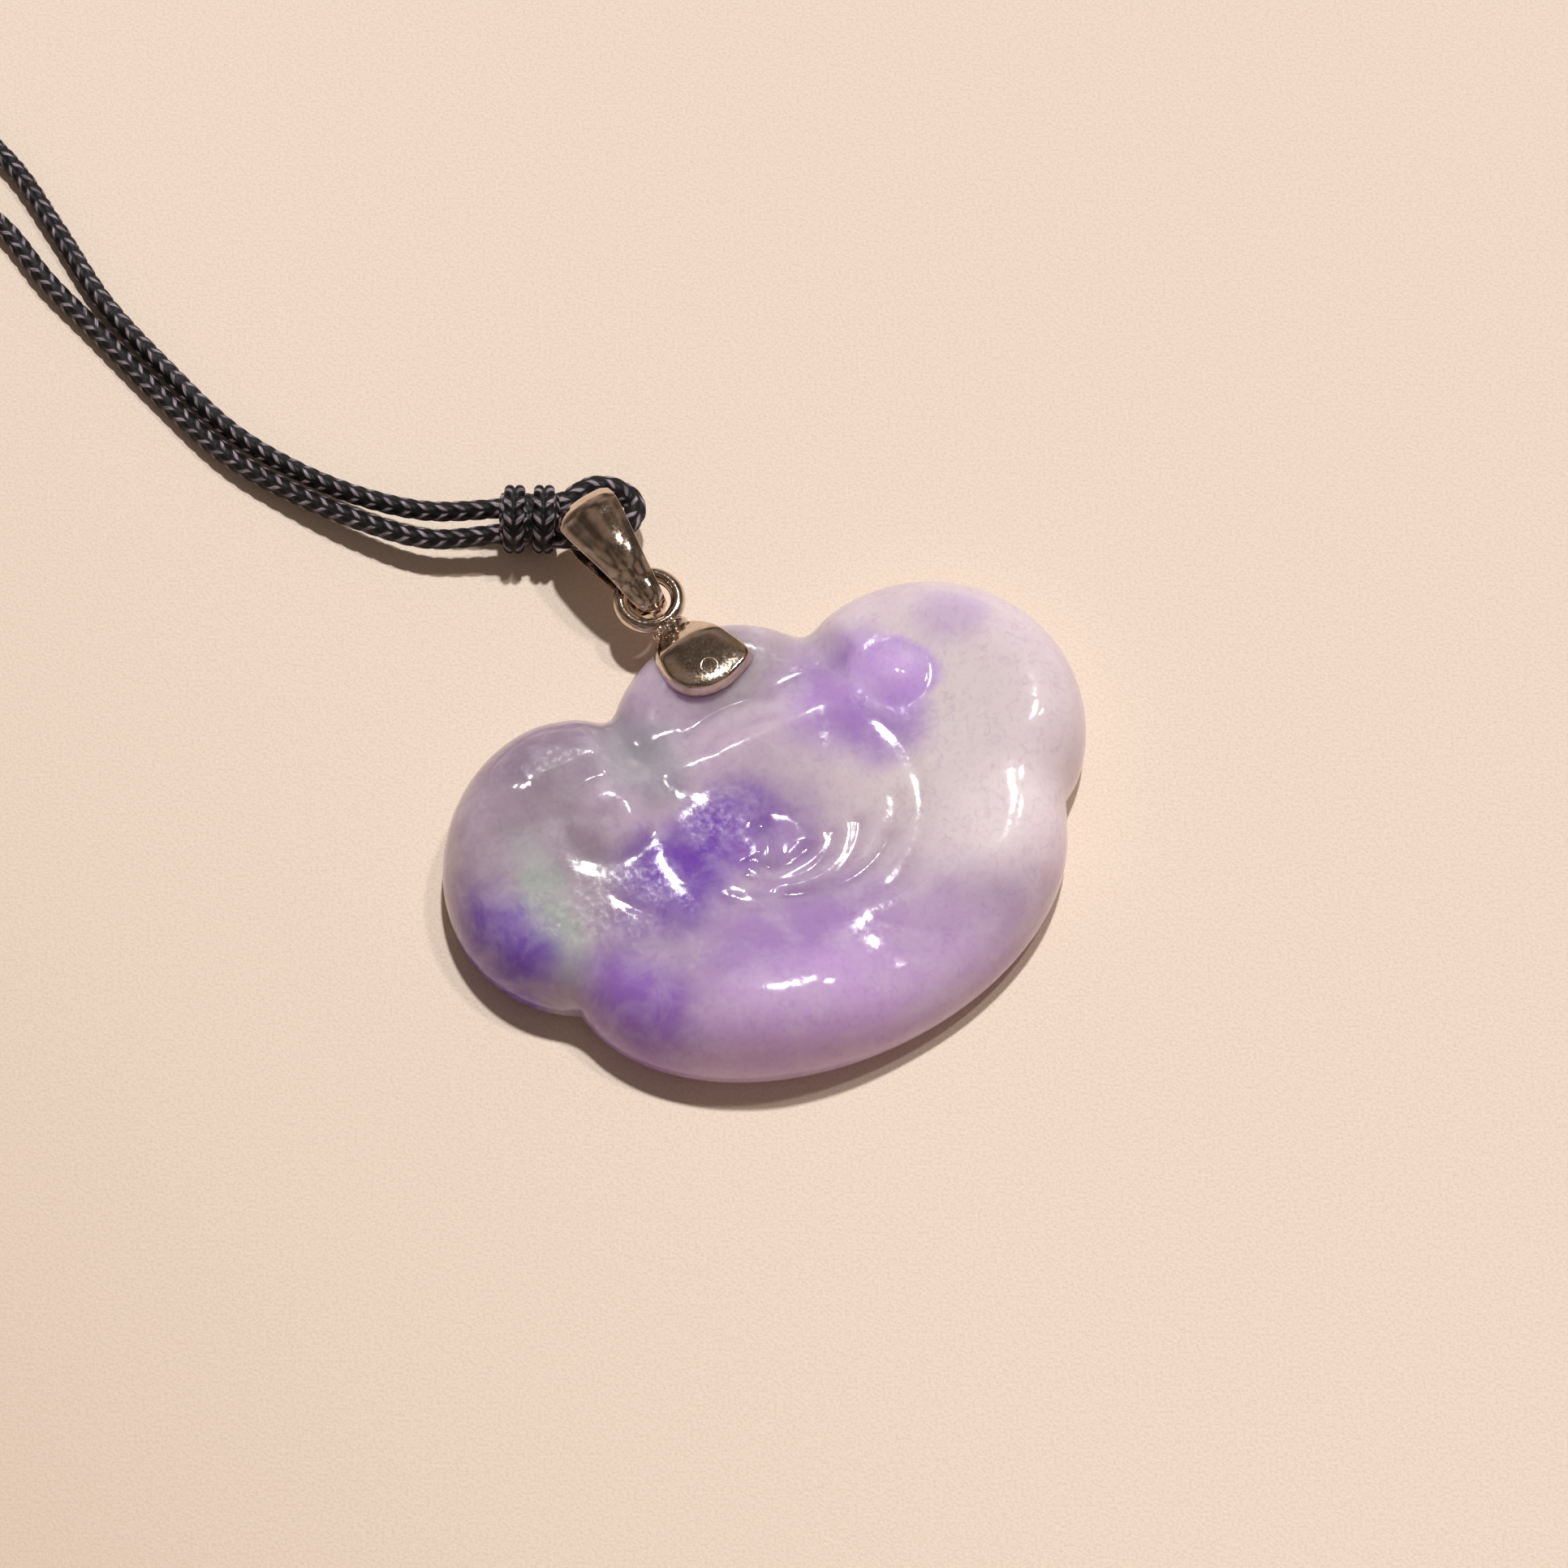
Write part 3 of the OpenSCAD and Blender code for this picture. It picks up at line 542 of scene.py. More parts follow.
def ranged(tree, value, low, high, to_low=0.0, to_high=1.0):
    """A value that goes smoothly from to_low to to_high while the given one goes from low to high."""
    made = node(tree, "ShaderNodeMapRange", interpolation_type="SMOOTHSTEP")
    tree.links.new(value, made.inputs["Value"])
    for key, number in (("From Min", low), ("From Max", high), ("To Min", to_low), ("To Max", to_high)):
        made.inputs[key].default_value = number
    return made.outputs["Result"]


def mixed(tree, factor, a, b):
    """Colour a where the factor is 0 and b where it is 1; a and b are sockets or colours."""
    made = node(tree, "ShaderNodeMix", data_type="RGBA", blend_type="MIX")
    for socket, value in ((made.inputs[0], factor), (made.inputs[6], a), (made.inputs[7], b)):
        if isinstance(value, bpy.types.NodeSocket):
            tree.links.new(value, socket)
        else:
            socket.default_value = value
    return made.outputs[2]


def maths(tree, operation, a, b=0.0):
    """The result of an operation on a and b, which are sockets or numbers."""
    made = node(tree, "ShaderNodeMath", operation=operation)
    for socket, value in ((made.inputs[0], a), (made.inputs[1], b)):
        if isinstance(value, bpy.types.NodeSocket):
            tree.links.new(value, socket)
        else:
            socket.default_value = value
    return made.outputs[0]


def bumped(tree, shader, height, strength, distance, before=None):
    """Gives a shader a bump of a distance in metres, on top of one given before."""
    made = node(tree, "ShaderNodeBump", Strength=strength, Distance=distance)
    tree.links.new(height, made.inputs["Height"])
    if before is not None:
        tree.links.new(before, made.inputs["Normal"])
    tree.links.new(made.outputs["Normal"], shader.inputs["Normal"])
    return made.outputs["Normal"]


def object_mm(tree, turn=0.0):
    """Object coordinates in millimetres, turned clockwise by an angle."""
    coords = node(tree, "ShaderNodeTexCoord").outputs["Object"]
    to_mm = (1 / MM, 1 / MM, 1 / MM)
    mapping = node(tree, "ShaderNodeMapping", vector_type="POINT", Scale=to_mm, Rotation=(0, 0, -turn))
    return linked(tree, mapping, coords).outputs["Vector"]


# Jade's material
# Colour zones of the stone, two of them partly painted light and shade: local x, y, half width, half height,
# tilt in degrees, softness, strength and sRGB colour. Later zones lie over earlier ones.
ZONES = [
    (14, 3, 13.5, 13.5, 0, 0.9, 0.9, (230, 220, 221)),
    # Bluer and lighter at the foot: the stone's own blue, and painted light that lifts its shaded lower half
    (-3, -13, 15, 6, 0, 0.9, 0.8, (206, 172, 224)),
    (-17, 5, 8, 11, 20, 0.8, 0.85, (170, 156, 168)),
    # Darker along the upper rim of the left lobe: painted shade over the rim that faces the lamps
    (-12, 12.5, 8, 4, 0, 0.9, 0.75, (136, 122, 136)),
    (-7, 9, 4.2, 4.6, 0, 0.9, 0.8, (160, 158, 166)),
    (4.5, 13.6, 6, 4, 0, 0.9, 0.85, (176, 164, 172)),
    (-17.8, 0.8, 2.1, 6.6, -6, 0.8, 0.85, (172, 182, 176)),
    (-21.9, 0.2, 3.7, 5.6, 10, 0.9, 0.95, (112, 72, 174)),
    (-15, -7.4, 3.9, 5.4, 20, 0.9, 0.85, (146, 98, 192)),
    (-3.5, -7, 8.5, 3.8, 0, 0.9, 0.65, (166, 128, 196)),
    (-3.8, 1.6, 4.2, 3.2, 25, 0.9, 0.95, (124, 76, 184)),
    (-8.4, -0.2, 4.8, 4.0, -20, 0.9, 0.95, (122, 74, 180)),
    (-11.6, -2.6, 4.2, 2.4, -20, 0.9, 0.6, (136, 98, 178)),
    (-1.2, 0, 4.4, 4.2, 0, 0.9, 0.65, (146, 102, 182)),
    (8.6, 7.4, 5.3, 5, 0, 0.8, 0.85, (176, 134, 208)),
    (9.4, 3.4, 3.6, 3.2, 0, 0.8, 0.7, (172, 132, 206)),
    (12.1, 6.9, 2.9, 2.9, 0, 0.4, 0.9, (204, 170, 230)),
    (17.8, 9, 2.8, 2.8, 0, 0.9, 0.6, (196, 170, 210)),
    (17.2, -8.5, 3.6, 3.8, 0, 0.9, 0.4, (210, 180, 212)),
    (14, -6.5, 6, 4.6, 0, 0.9, 0.75, (244, 234, 236)),
]
# How far past its half sizes a zone reaches, and how far noise moves the edges of the zones
ZONE_REACH, ZONE_WANDER = 1.25, 3.4
# The stone's ground under the zones, and the clouds and fibres over them with their strengths
JADE_GROUND, CLOUD_TONE, FIBRE_TONE = (192, 172, 194), (226, 218, 226), (140, 104, 160)
CLOUD_SHARE, FIBRE_SHARE = 0.26, 0.24


def wandering(tree, place):
    """Flat local coordinates, moved about by noise."""
    wander = node(tree, "ShaderNodeTexNoise", Scale=0.22, Detail=5.0, Roughness=0.6)
    linked(tree, wander, place)
    shift = node(tree, "ShaderNodeVectorMath", operation="MULTIPLY_ADD")
    tree.links.new(wander.outputs["Color"], shift.inputs[0])
    shift.inputs[1].default_value = (ZONE_WANDER, ZONE_WANDER, 0)
    tree.links.new(place, shift.inputs[2])
    centred = node(tree, "ShaderNodeVectorMath", operation="SUBTRACT")
    tree.links.new(shift.outputs[0], centred.inputs[0])
    centred.inputs[1].default_value = (ZONE_WANDER / 2, ZONE_WANDER / 2, 0)
    flat = node(tree, "ShaderNodeVectorMath", operation="MULTIPLY")
    tree.links.new(centred.outputs[0], flat.inputs[0])
    flat.inputs[1].default_value = (1, 1, 0)
    return flat.outputs[0]


def jade_material():
    """Lavender jadeite: soft zones of colour, some with painted light and shade, clouds and fibres, light
    inside and a wavy polish.
    """
    material, tree, shader = new_material("jade_lavender")
    place = object_mm(tree, JADE_TURN)
    flat = wandering(tree, place)
    colour = linear(*JADE_GROUND)
    for x, y, w, h, tilt, soft, strength, tone in ZONES:
        zone = node(
            tree, "ShaderNodeMapping", vector_type="TEXTURE", Location=(x, y, 0),
            Rotation=(0, 0, math.radians(tilt)), Scale=(w, h, 1),
        )
        off = node(tree, "ShaderNodeVectorMath", operation="LENGTH")
        tree.links.new(linked(tree, zone, flat).outputs["Vector"], off.inputs[0])
        amount = ranged(tree, off.outputs["Value"], ZONE_REACH - soft, ZONE_REACH, strength, 0.0)
        colour = mixed(tree, amount, colour, linear(*tone))
    cloud = ranged(tree, noise(tree, place, 0.35, 6, 0.62, 0.4), 0.38, 0.68)
    colour = mixed(tree, maths(tree, "MULTIPLY", cloud, CLOUD_SHARE), colour, linear(*CLOUD_TONE))
    fibre = ranged(tree, noise(tree, place, 1.4, 6, 0.7, 1.2), 0.45, 0.75)
    colour = mixed(tree, maths(tree, "MULTIPLY", fibre, FIBRE_SHARE), colour, linear(*FIBRE_TONE))
    tree.links.new(colour, shader.inputs["Base Color"])
    shader.inputs["Subsurface Weight"].default_value = 1.0
    shader.inputs["Subsurface Radius"].default_value = (1.0, 0.8, 1.1)
    shader.inputs["Subsurface Scale"].default_value = 5 * MM
    shader.inputs["IOR"].default_value = 1.55
    polish = ranged(tree, noise(tree, place, 2.2, 4), 0.3, 0.7, 0.07, 0.16)
    tree.links.new(polish, shader.inputs["Roughness"])
    waves = bumped(tree, shader, noise(tree, place, 1.6, 2, 0.4), 0.2, 0.06 * MM)
    bumped(tree, shader, noise(tree, place, 9, 3, 0.6), 0.12, 0.015 * MM, waves)
    return material


dress(jade, jade_material())


# Cord's material
# A yarn's colour in its furrows, darker there as painted shade, and on its back, the two tones of the painted
# glint on its crest, and its fuzz
YARN_FURROW_SHADE, YARN_HIGH = (6, 5, 6), (16, 13, 15)
PAINTED_GLINT_DIM, PAINTED_GLINT_BRIGHT = (96, 86, 94), (214, 198, 212)
FUZZ_TONE = (190, 180, 190)


def cord_material():
    """Black braid with painted shade in its furrows and painted glints on its yarns: across its UV map, u
    counts yarns along the cord and v the braid's arms.
    """
    material, tree, shader = new_material("cord_black")
    uv = node(tree, "ShaderNodeUVMap", uv_map="along").outputs["UV"]
    stretch = linked(tree, node(tree, "ShaderNodeMapping", Scale=(16, 1.4, 1)), uv)
    threads = noise(tree, stretch.outputs["Vector"], 1.0, 3, 0.6)
    place = object_mm(tree)
    # Noise that makes the painted glint stronger in some places than in others
    glint_patches = ranged(tree, noise(tree, place, 0.9, 4), 0.35, 0.75)
    across = linked(tree, node(tree, "ShaderNodeSeparateXYZ"), uv)
    middle = maths(tree, "PINGPONG", across.outputs[0], 0.5)
    lane = maths(tree, "PINGPONG", across.outputs[1], 0.5)
    # Where the painted glint lies: along each yarn's crest, away from the ends of the braid's arms
    crown = maths(tree, "MULTIPLY", ranged(tree, middle, 0.29, 0.42), ranged(tree, lane, 0.08, 0.26))
    painted_glint = mixed(tree, ranged(tree, threads, 0.35, 0.7), linear(*PAINTED_GLINT_DIM), linear(*PAINTED_GLINT_BRIGHT))
    # The yarn darkens towards its furrows as painted shade
    colour = mixed(tree, ranged(tree, middle, 0.05, 0.4), linear(*YARN_FURROW_SHADE), linear(*YARN_HIGH))
    glint_share = maths(tree, "MULTIPLY", crown, ranged(tree, glint_patches, 0.0, 1.0, 0.95, 0.35))
    tree.links.new(mixed(tree, glint_share, colour, painted_glint), shader.inputs["Base Color"])
    tree.links.new(ranged(tree, threads, 0.3, 0.7, 0.42, 0.6), shader.inputs["Roughness"])
    shader.inputs["Specular IOR Level"].default_value = 0.3
    shader.inputs["Sheen Weight"].default_value = 0.05
    shader.inputs["Sheen Roughness"].default_value = 0.4
    shader.inputs["Sheen Tint"].default_value = linear(*FUZZ_TONE)
    bumped(tree, shader, threads, 0.7, 0.06 * MM)
    return material


black_cord = cord_material()
for piece in (upper, lower, bail_loop, core, *wraps):
    dress(piece, black_cord)


# Metal
METAL_TONE, TARNISH_TONE, TARNISH_SHARE = (222, 206, 190), (180, 146, 116), 0.5


def metal_material():
    """Polished silver with warm tarnish, soft waves and fine scratches."""
    material, tree, shader = new_material("metal_polished")
    place = object_mm(tree)
    tarnish = maths(tree, "MULTIPLY", ranged(tree, noise(tree, place, 1.6, 5, 0.6), 0.4, 0.7), TARNISH_SHARE)
    colour = mixed(tree, tarnish, linear(*METAL_TONE), linear(*TARNISH_TONE))
    tree.links.new(colour, shader.inputs["Base Color"])
    shader.inputs["Metallic"].default_value = 1.0
    tree.links.new(ranged(tree, noise(tree, place, 5, 4), 0.3, 0.75, 0.05, 0.13), shader.inputs["Roughness"])
    waves = bumped(tree, shader, noise(tree, place, 0.9, 2, 0.4), 0.1, 0.06 * MM)
    scratch = linked(tree, node(tree, "ShaderNodeMapping", Scale=(2, 30, 6), Rotation=(0, 0, 0.6)), place)
    bumped(tree, shader, noise(tree, scratch.outputs["Vector"], 1, 2), 0.05, 0.006 * MM, waves)
    return material


silver = metal_material()
# The metal's own frame: u across the cap, v along it from the pin, z up
METAL_TURN = math.radians(33.5)
PIN_X, PIN_Y, _ = to_row(np.array([[0.012 * JADE_W, 0.384 * JADE_H, 0]]))[0]


def from_metal(points):
    """Row points of points given in the metal's own frame."""
    u, v, z = np.asarray(points, float).T
    c, s = math.cos(METAL_TURN), math.sin(METAL_TURN)
    return np.stack([PIN_X + u * c - v * s, PIN_Y + u * s + v * c, z], 1)


def lofted(name, sections, closed=False):
    """A surface through closed sections of as many points each, closed along too or with two ends."""
    rows, n = len(sections), len(sections[0])
    points = np.vstack(sections)
    nxt = [(j + 1) % n for j in range(n)]
    faces = []
    for i in range(rows if closed else rows - 1):
        a, b = i * n, (i + 1) % rows * n
        faces += [(a + j, a + nxt[j], b + nxt[j], b + j) for j in range(n)]
    if not closed:
        points = np.vstack([points, sections[0].mean(0), sections[-1].mean(0)])
        last = len(points) - 1
        for j in range(n):
            faces.append((nxt[j], j, last - 1))
            faces.append(((rows - 1) * n + j, (rows - 1) * n + nxt[j], last))
    return add_mesh(name, points, faces)


def bevelled(piece, width, degrees):
    """Rounds a piece's edges that are sharper than an angle."""
    edge = piece.modifiers.new("edge", "BEVEL")
    edge.width = width * MM
    edge.segments = 3
    edge.limit_method = "ANGLE"
    edge.angle_limit = math.radians(degrees)


def of_metal(piece, bevel=0):
    """Dresses a piece in silver, with edges rounded by a bevel's width, and gives it back."""
    dress(piece, silver)
    if bevel:
        bevelled(piece, bevel, 30)
    return piece


# Outline of the front leaf round the pin: angle from +u in degrees, distance
LEAF_EDGE = [
    (0, 3.35), (14, 3.25), (30, 3.35), (46, 3.75), (60, 4.35), (76, 5.0), (90, 5.05), (102, 4.95), (114, 4.7),
    (130, 4.05), (146, 3.5), (160, 3.2), (176, 2.85), (194, 2.5), (212, 2.1), (232, 1.8), (252, 1.65),
    (272, 1.62), (292, 1.75), (310, 1.95), (328, 2.35), (340, 2.95), (350, 3.4), (360, 3.35),
]
LEAF_EDGE_BLUR = (0.1, 0.2, 0.4, 0.2, 0.1)
# The leaf's sections shrink towards its middle
LEAF_MID_U, LEAF_MID_V = 0.0, 1.35
# The leaf's top: height at the pin, fall to a millimetre along v and u, and the bend near its tip,
# which starts at a v, earlier beside the middle, and turns down over a rounded stretch
LEAF_TOP, LEAF_FALL_V, LEAF_FALL_U = 6.42, 0.12, 0.04
BEND_V, BEND_CURVE, BEND_FALL, BEND_ROUND = 2.9, 0.06, 0.27, 0.03
# How far the top falls towards the edge, how far in the edge's own rounding, and where that starts
LEAF_DOME, LEAF_EDGE_FALL, LEAF_EDGE_FROM, LEAF_EDGE_OVER = 0.3, 0.5, 0.9, 0.1
# The leaf's gap to the stone, its lowest height, and its least thickness at the edge and inside
LEAF_CLEAR, LEAF_LOWEST, LEAF_EDGE_T, LEAF_T = 0.04, 2.0, 0.35, 0.3


def stone_top(u, v):
    """Height of the stone's front under a place of the cap."""
    x, y, _ = from_metal(np.stack([u, v, 0 * u], 1)).T
    c, s = math.cos(-JADE_TURN), math.sin(-JADE_TURN)
    x, y = x * c - y * s, x * s + y * c
    share = np.hypot(x, y) / outline_reach(np.arctan2(y, x))
    return np.where(share < 1, front(x, y, np.minimum(share, 1)), 0)


def leaf_top(u, v, share):
    """Height of the front leaf's top. share is 0 in its middle and 1 at its edge."""
    past = v - BEND_V + BEND_CURVE * u * u
    bend = BEND_FALL * (past + np.sqrt(past * past + BEND_ROUND))
    plane = LEAF_TOP - LEAF_FALL_V * v - LEAF_FALL_U * u - bend
    rounding = np.clip((share - LEAF_EDGE_FROM) / LEAF_EDGE_OVER, 0, 1)
    return plane - LEAF_DOME * share**4 - LEAF_EDGE_FALL * rounding**2


def make_front_leaf():
    """The shield leaf on the front, from its top over its edge to its underside on the stone."""
    n, rings = 96, 22
    # The rings stand closer towards the edge
    crowding = 1.7
    angle = np.linspace(0, 360, n, endpoint=False)
    table = np.array(LEAF_EDGE)
    radius = blurred(np.interp(angle, table[:, 0], table[:, 1]), LEAF_EDGE_BLUR)
    edge_u = radius * np.cos(np.radians(angle)) - LEAF_MID_U
    edge_v = radius * np.sin(np.radians(angle)) - LEAF_MID_V

    def at(share):
        return LEAF_MID_U + edge_u * share, LEAF_MID_V + edge_v * share

    sections = []
    for i in range(1, rings + 1):
        share = 1 - (1 - i / rings) ** crowding
        u, v = at(share)
        sections.append(np.stack([u, v, leaf_top(u, v, share)], 1))
    u, v = at(1.0)
    high = leaf_top(u, v, 1.0)
    # The edge's low end follows the stone just inside the leaf's outline, and its middle stands out
    inwards, outwards = 0.99, 1.012
    low = np.maximum(stone_top(u * inwards, v * inwards) + LEAF_CLEAR, LEAF_LOWEST)
    low = np.minimum(low, high - LEAF_EDGE_T)
    sections.append(np.stack([u * outwards, v * outwards, (high + low) / 2], 1))
    sections.append(np.stack([u, v, low], 1))
    for share in (0.85, 0.6, 0.3):
        u, v = at(share)
        under = np.maximum(stone_top(u, v) + LEAF_CLEAR, LEAF_LOWEST)
        sections.append(np.stack([u, v, np.minimum(under, leaf_top(u, v, share) - LEAF_T)], 1))
    return lofted("cap_front_leaf", [from_metal(p) for p in sections])


def make_back_leaf():
    """The plain leaf in the back's hollow, an egg-shaped plate."""
    half_u, half_v, mid_v, egg = 2.55, 2.75, 1.15, 0.1
    # Share of the outline and height of each section, from the underside up
    rows = [(0.2, 0.66), (0.7, 0.7), (0.92, 0.8), (1.0, 0.98), (0.96, 1.2), (0.5, 1.28)]
    angle = np.radians(np.linspace(0, 360, 72, endpoint=False))
    sections = []
    for share, z in rows:
        u = half_u * share * np.cos(angle)
        v = mid_v + half_v * share * np.sin(angle) * (1 + egg * np.sin(angle))
        sections.append(from_metal(np.stack([u, v, z + 0 * u], 1)))
    return lofted("cap_back_leaf", sections)


def make_neck():
    """Stem between the leaves and the ring, with a collar."""
    # v, half width across, half height and height of the middle of each section
    rows = [
        (3.3, 0.95, 1.5, 3.1), (4.0, 0.9, 1.4, 3.4), (4.5, 1.0, 1.1, 3.8), (4.7, 1.24, 1.24, 3.9),
        (4.92, 1.32, 1.32, 3.9), (5.14, 1.24, 1.24, 3.86), (5.26, 0.96, 0.96, 3.75), (5.42, 0.8, 0.8, 3.6),
        (5.62, 0.84, 0.74, 3.5), (5.8, 0.9, 0.6, 3.5),
    ]
    angle = np.linspace(0, 2 * np.pi, 40, endpoint=False)
    return lofted("cap_neck", [
        from_metal(np.stack([a * np.cos(angle), v + 0 * angle, z + b * np.sin(angle)], 1))
        for v, a, b, z in rows
    ])


# Grains of solder on the -u side of the collar, in a zigzag along v
GRAINS, GRAIN_R, GRAIN_ZIGZAG = 9, 0.23, 0.13
COLLAR_R, COLLAR_V, COLLAR_Z = 1.29, 4.93, 3.9


def make_grains():
    """Small grains of solder round the collar, as one mesh of little spheres."""
    bands, around = 8, 12
    points, faces = [], []
    for k in range(GRAINS):
        turn = math.pi * (0.5 + k / (GRAINS - 1))
        v = COLLAR_V + GRAIN_ZIGZAG * (-1) ** k
        mid = np.array([COLLAR_R * math.cos(turn), v, COLLAR_Z + COLLAR_R * math.sin(turn)])
        start = len(points)
        for i in range(1, bands):
            a = math.pi * i / bands
            for j in range(around):
                b = 2 * math.pi * j / around
                outwards = np.array([math.sin(a) * math.cos(b), math.cos(a), math.sin(a) * math.sin(b)])
                points.append(mid + GRAIN_R * outwards)
        points += [mid + [0, GRAIN_R, 0], mid - [0, GRAIN_R, 0]]
        first_pole = start + (bands - 1) * around
        last_row = first_pole - around
        for j in range(around):
            m = (j + 1) % around
            for i in range(bands - 2):
                a = start + i * around
                faces.append((a + j, a + m, a + around + m, a + around + j))
            faces.append((start + m, start + j, first_pole))
            faces.append((last_row + j, last_row + m, first_pole + 1))
    return add_mesh("cap_grains", from_metal(points), faces)


# The ring's place along v, its height, and the radii of its middle line and of its wire
RING_V, RING_Z, RING_R, RING_WIRE_R = 7.99, 3.5, 2.08, 0.54


def make_ring():
    """The round ring that the bail hooks through."""
    n, around = 120, 28
    b = 2 * math.pi * np.arange(around) / around
    r = RING_R + RING_WIRE_R * np.cos(b)
    z = RING_Z + RING_WIRE_R * np.sin(b)
    turns = [2 * math.pi * i / n for i in range(n)]
    sections = [from_metal(np.stack([r * math.cos(a), RING_V + r * math.sin(a), z], 1)) for a in turns]
    return lofted("cap_ring", sections, closed=True)


def make_pin():
    """The pin's end in the front leaf, with a raised rim and a dished middle."""
    # Radius and height of each section, from the dish over the rim down to the back
    rows = [
        (0.15, 6.34), (0.42, 6.36), (0.5, 6.4), (0.56, 6.46), (0.63, 6.46), (0.68, 6.4), (0.7, 6.2),
        (0.7, 0.62), (0.3, 0.6),
    ]
    angle = np.linspace(0, 2 * np.pi, 64, endpoint=False)
    return lofted("cap_pin_end", [
        from_metal(np.stack([r * np.cos(angle), r * np.sin(angle), z + 0 * angle], 1)) for r, z in rows
    ])


# The bail's start along v, length, widths at its two ends, thickness and roll about its axis
BAIL_LOW, BAIL_L, BAIL_TIP_W, BAIL_W, BAIL_WALL = 6.64, 10.75, 1.9, 4.75, 0.6
BAIL_ROLL = math.radians(-10)
# Radius and height of the bends at its narrow and its wide end
TIP_R, WIDE_R, TIP_Z, WIDE_Z = 1.5, 2.45, 3.5, 3.45
# Its upper side swells up, but for a dent: rise, then depth, place and width of the dent
BAIL_SWELL, DENT_DEPTH, DENT_AT, DENT_W = 0.66, 0.34, 0.83, 0.08
BAIL_BLUR = (0.1, 0.15, 0.15, 0.2, 0.15, 0.15, 0.1)
# The tip is round in plan with a radius, and not narrower than a half width
BAIL_NOSE, NOSE_HALF_W = 0.6 * BAIL_TIP_W, 0.38
# Widest bevel and its share of the half width, the face's crown as a share of the half width, and
# the bevel's depth as a share of the band's thickness
BEVEL_MAX, BEVEL_SHARE, FACE_CROWN, BEVEL_LOW = 0.48, 0.34, 0.16, 0.45
# Where the band draws in at its wide end, and by how much on each side
WIDE_END_FROM, WIDE_END_IN = (0.86, 0.14), 0.1
# Place along the bail from its narrow end, and share of the flare
FLARES = [
    (0, 0), (0.06, 0.07), (0.1, 0.12), (0.28, 0.34), (0.46, 0.56), (0.62, 0.78), (0.74, 0.93), (0.82, 0.99),
    (1, 1),
]


def bail_path():
    """The band's outer line in the v-z plane: a loop of two bends and two sides."""
    steps = 40
    tip_v, wide_v = BAIL_LOW + TIP_R, BAIL_LOW + BAIL_L - WIDE_R
    heading = math.atan2(WIDE_Z - TIP_Z, wide_v - tip_v)
    lean = math.acos((TIP_R - WIDE_R) / math.hypot(wide_v - tip_v, WIDE_Z - TIP_Z))

    def on_wide(a):
        return np.array([wide_v + WIDE_R * math.cos(a), WIDE_Z + WIDE_R * math.sin(a)])

    def on_tip(a):
        return np.array([tip_v + TIP_R * math.cos(a), TIP_Z + TIP_R * math.sin(a)])

    def swell_up(t):
        dent = DENT_DEPTH * math.exp(-(((t - DENT_AT) / DENT_W) ** 2))
        return np.array([0, BAIL_SWELL * math.sin(math.pi * t) - dent])

    bends = [k / steps for k in range(steps + 1)]
    sides = bends[1:-1]
    upper_from, upper_to = on_wide(heading + lean), on_tip(heading + lean)
    lower_from, lower_to = on_tip(heading - lean), on_wide(heading - lean)
    path = [on_wide(heading - lean + 2 * lean * t) for t in bends]
    path += [upper_from + (upper_to - upper_from) * t + swell_up(t) for t in sides]
    path += [on_tip(heading + lean + (2 * math.pi - 2 * lean) * t) for t in bends]
    path += [lower_from + (lower_to - lower_from) * t for t in sides]
    return blurred(np.array(path), BAIL_BLUR)


def bail_half_width(along):
    """Half the band's width at a share of the bail's length."""
    places, shares = zip(*FLARES)
    half = (BAIL_TIP_W + np.interp(along, places, shares) * (BAIL_W - BAIL_TIP_W)) / 2
    short = BAIL_NOSE - along * BAIL_L
    if short > 0:
        half = min(half, max(NOSE_HALF_W, math.sqrt(max(BAIL_NOSE**2 - short**2, 0))))
    return half - WIDE_END_IN * ramp(along, *WIDE_END_FROM)


def make_bail():
    """A tapered band bent into a loop, crowned across and along its face, with bevelled edges."""
    path = bail_path()
    ahead = unit(np.roll(path, -1, 0) - np.roll(path, 1, 0))
    out = np.stack([ahead[:, 1], -ahead[:, 0]], 1)
    c, s = math.cos(BAIL_ROLL), math.sin(BAIL_ROLL)
    over_face, over_inside = np.linspace(-1, 1, 13), np.linspace(1, -1, 7)[1:-1]
    sections = []
    for (v, z), (out_v, out_z) in zip(path, out):
        w = bail_half_width((v - BAIL_LOW) / BAIL_L)
        bevel = min(BEVEL_MAX, BEVEL_SHARE * w)
        crown = FACE_CROWN * w * max(0.0, out_z)
        section = [(-w, -BAIL_WALL), (-w, -BEVEL_LOW * BAIL_WALL)]
        section += [(k * (w - bevel), crown * (1 - k**2)) for k in over_face]
        section += [(w, -BEVEL_LOW * BAIL_WALL), (w, -BAIL_WALL)]
        section += [(k * w, -BAIL_WALL) for k in over_inside]
        u, height = np.array(section).T
        up = z + out_z * height - WIDE_Z
        rolled = np.stack([u * c + up * s, v + out_v * height, WIDE_Z - u * s + up * c], 1)
        sections.append(from_metal(rolled))
    return lofted("bail_loop_metal", sections, closed=True)


front_leaf = of_metal(make_front_leaf())
of_metal(make_back_leaf(), 0.04)
for piece in (make_neck(), make_grains(), make_ring()):
    of_metal(piece)
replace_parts(front_leaf, "pinch_cap")
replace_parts(of_metal(make_pin(), 0.02), "cap_pin")
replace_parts(of_metal(make_bail(), 0.06), "tapered_bail")
clasp.data.materials.clear()
clasp.data.materials.append(silver)
bevelled(clasp, 0.07, 35)


# Floor, lights and world
# Tones of the floor's grain, and the painted shade that darkens it towards one side
FLOOR_DARK, FLOOR_PALE, FLOOR_FALLOFF_SHADE = (230, 212, 195), (240, 223, 207), (188, 158, 132)
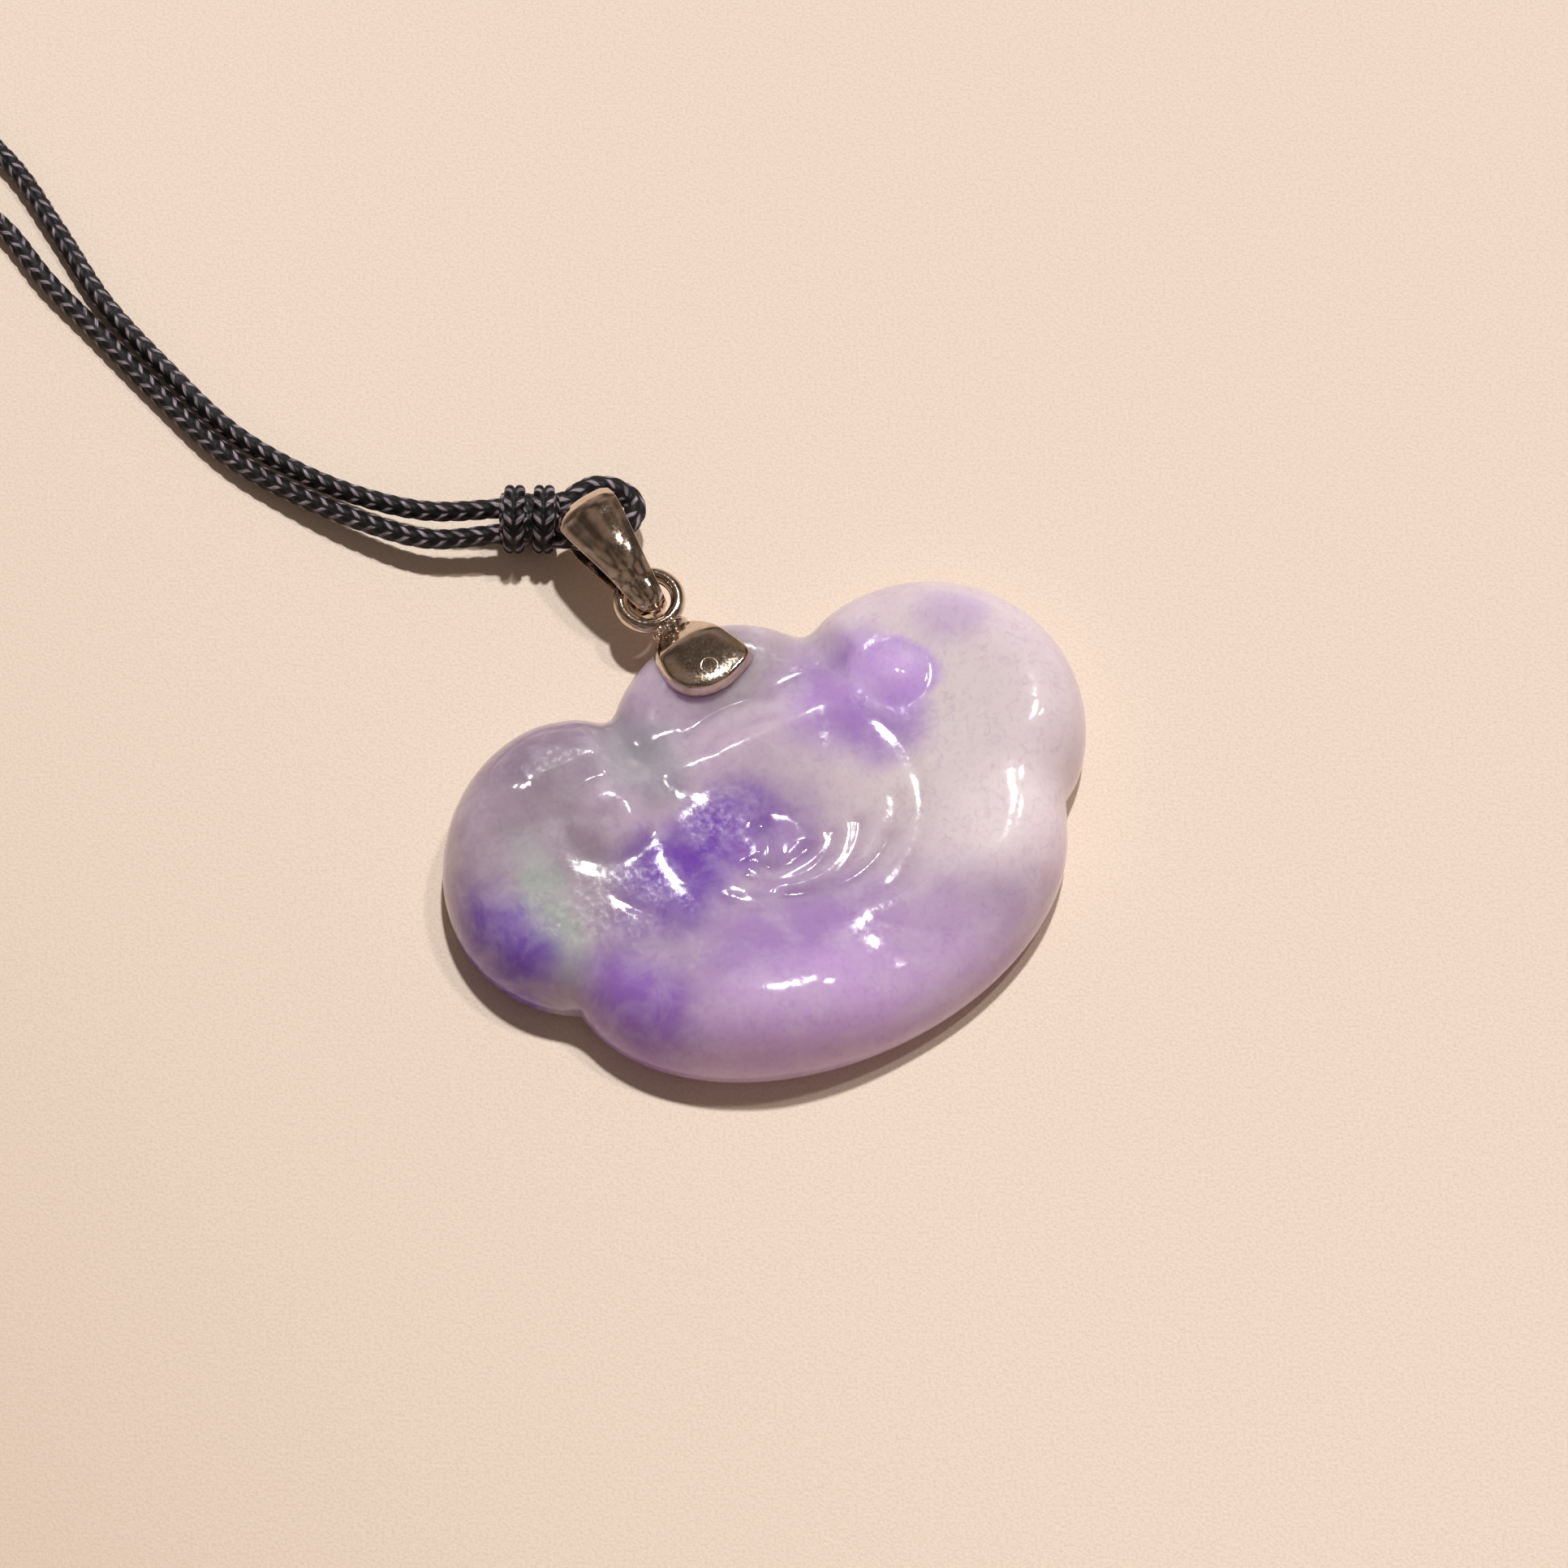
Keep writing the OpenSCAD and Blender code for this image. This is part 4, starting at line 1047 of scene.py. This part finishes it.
# Just under the surface that the pendant lies on
FLOOR_Z = -0.02
# Direction in which the painted shade of the lamps' falloff darkens the floor, and the distance over which it
# does
FLOOR_DARKENS, FLOOR_DARKENS_OVER = (-0.8, -0.6, 0), 190


def floor_material():
    """Pale paper with a fine grain, and painted shade of the lamps' falloff that darkens it towards one side.
    """
    material, tree, shader = new_material("floor_cream")
    place = object_mm(tree)
    grain = noise(tree, place, 4.8, 2, 0.55)
    colour = mixed(tree, ranged(tree, grain, 0.3, 0.62), linear(*FLOOR_DARK), linear(*FLOOR_PALE))
    aside = node(tree, "ShaderNodeVectorMath", operation="DOT_PRODUCT")
    tree.links.new(place, aside.inputs[0])
    aside.inputs[1].default_value = FLOOR_DARKENS
    falloff_shade = ranged(tree, aside.outputs["Value"], 0, FLOOR_DARKENS_OVER)
    tree.links.new(mixed(tree, falloff_shade, colour, linear(*FLOOR_FALLOFF_SHADE)), shader.inputs["Base Color"])
    shader.inputs["Roughness"].default_value = 0.75
    bumped(tree, shader, grain, 0.5, 0.09 * MM)
    return material


def make_floor():
    """A round plain floor that curves up at its far edge."""
    # Radius and height of each ring in metres
    rings = [(0.3, 0), (1.0, 0), (2.2, 0), (2.6, 0.03), (2.9, 0.14), (3.1, 0.34)]
    n = 72
    turns = [2 * math.pi * k / n for k in range(n)]
    nxt = [(k + 1) % n for k in range(n)]
    points = [(0, 0, FLOOR_Z)]
    for r, h in rings:
        points += [(r / MM * math.cos(a), r / MM * math.sin(a), h / MM + FLOOR_Z) for a in turns]
    faces = [(0, 1 + k, 1 + nxt[k]) for k in range(n)]
    for i in range(len(rings) - 1):
        a = 1 + i * n
        faces += [(a + k, a + n + k, a + n + nxt[k], a + nxt[k]) for k in range(n)]
    floor = add_mesh("floor", points, faces, body=None)
    floor.data.materials.append(floor_material())


make_floor()


def sun(name, towards, strength, colour, degrees):
    """A distant lamp that lies in a direction from the pendant and is some degrees wide."""
    data = bpy.data.lights.new(name, "SUN")
    data.energy, data.color, data.angle = strength, colour, math.radians(degrees)
    lamp = bpy.data.objects.new(name, data)
    lamp.rotation_euler = Vector(towards).to_track_quat("Z", "Y").to_euler()
    scene.collection.objects.link(lamp)


sun("key", (0.1, 0.47, 1), 2.4, (1.0, 0.99, 0.98), 3.5)
sun("second", (0.4, 0.4, 1), 0.6, (1.0, 0.93, 0.86), 4)


# The room's light near the floor and overhead
ROOM_LOW, ROOM_HIGH = (0.215, 0.17, 0.145, 1), (0.13, 0.1, 0.082, 1)


def make_world():
    """Soft warm light from all round, dimmer above, in large patches that the polish reflects."""
    world = bpy.data.worlds.new("room")
    world.use_nodes = True
    tree = world.node_tree
    back_light = tree.nodes["Background"]
    towards = node(tree, "ShaderNodeTexCoord").outputs["Generated"]
    height = linked(tree, node(tree, "ShaderNodeSeparateXYZ"), towards)
    colour = mixed(tree, ranged(tree, height.outputs[2], 0.2, 0.85), ROOM_LOW, ROOM_HIGH)
    tree.links.new(colour, back_light.inputs["Color"])
    patches = noise(tree, towards, 2.6, 1, 0.4)
    tree.links.new(ranged(tree, patches, 0.36, 0.64, 0.45, 1.7), back_light.inputs["Strength"])
    scene.world = world


make_world()
scene.view_settings.view_transform = "Standard"
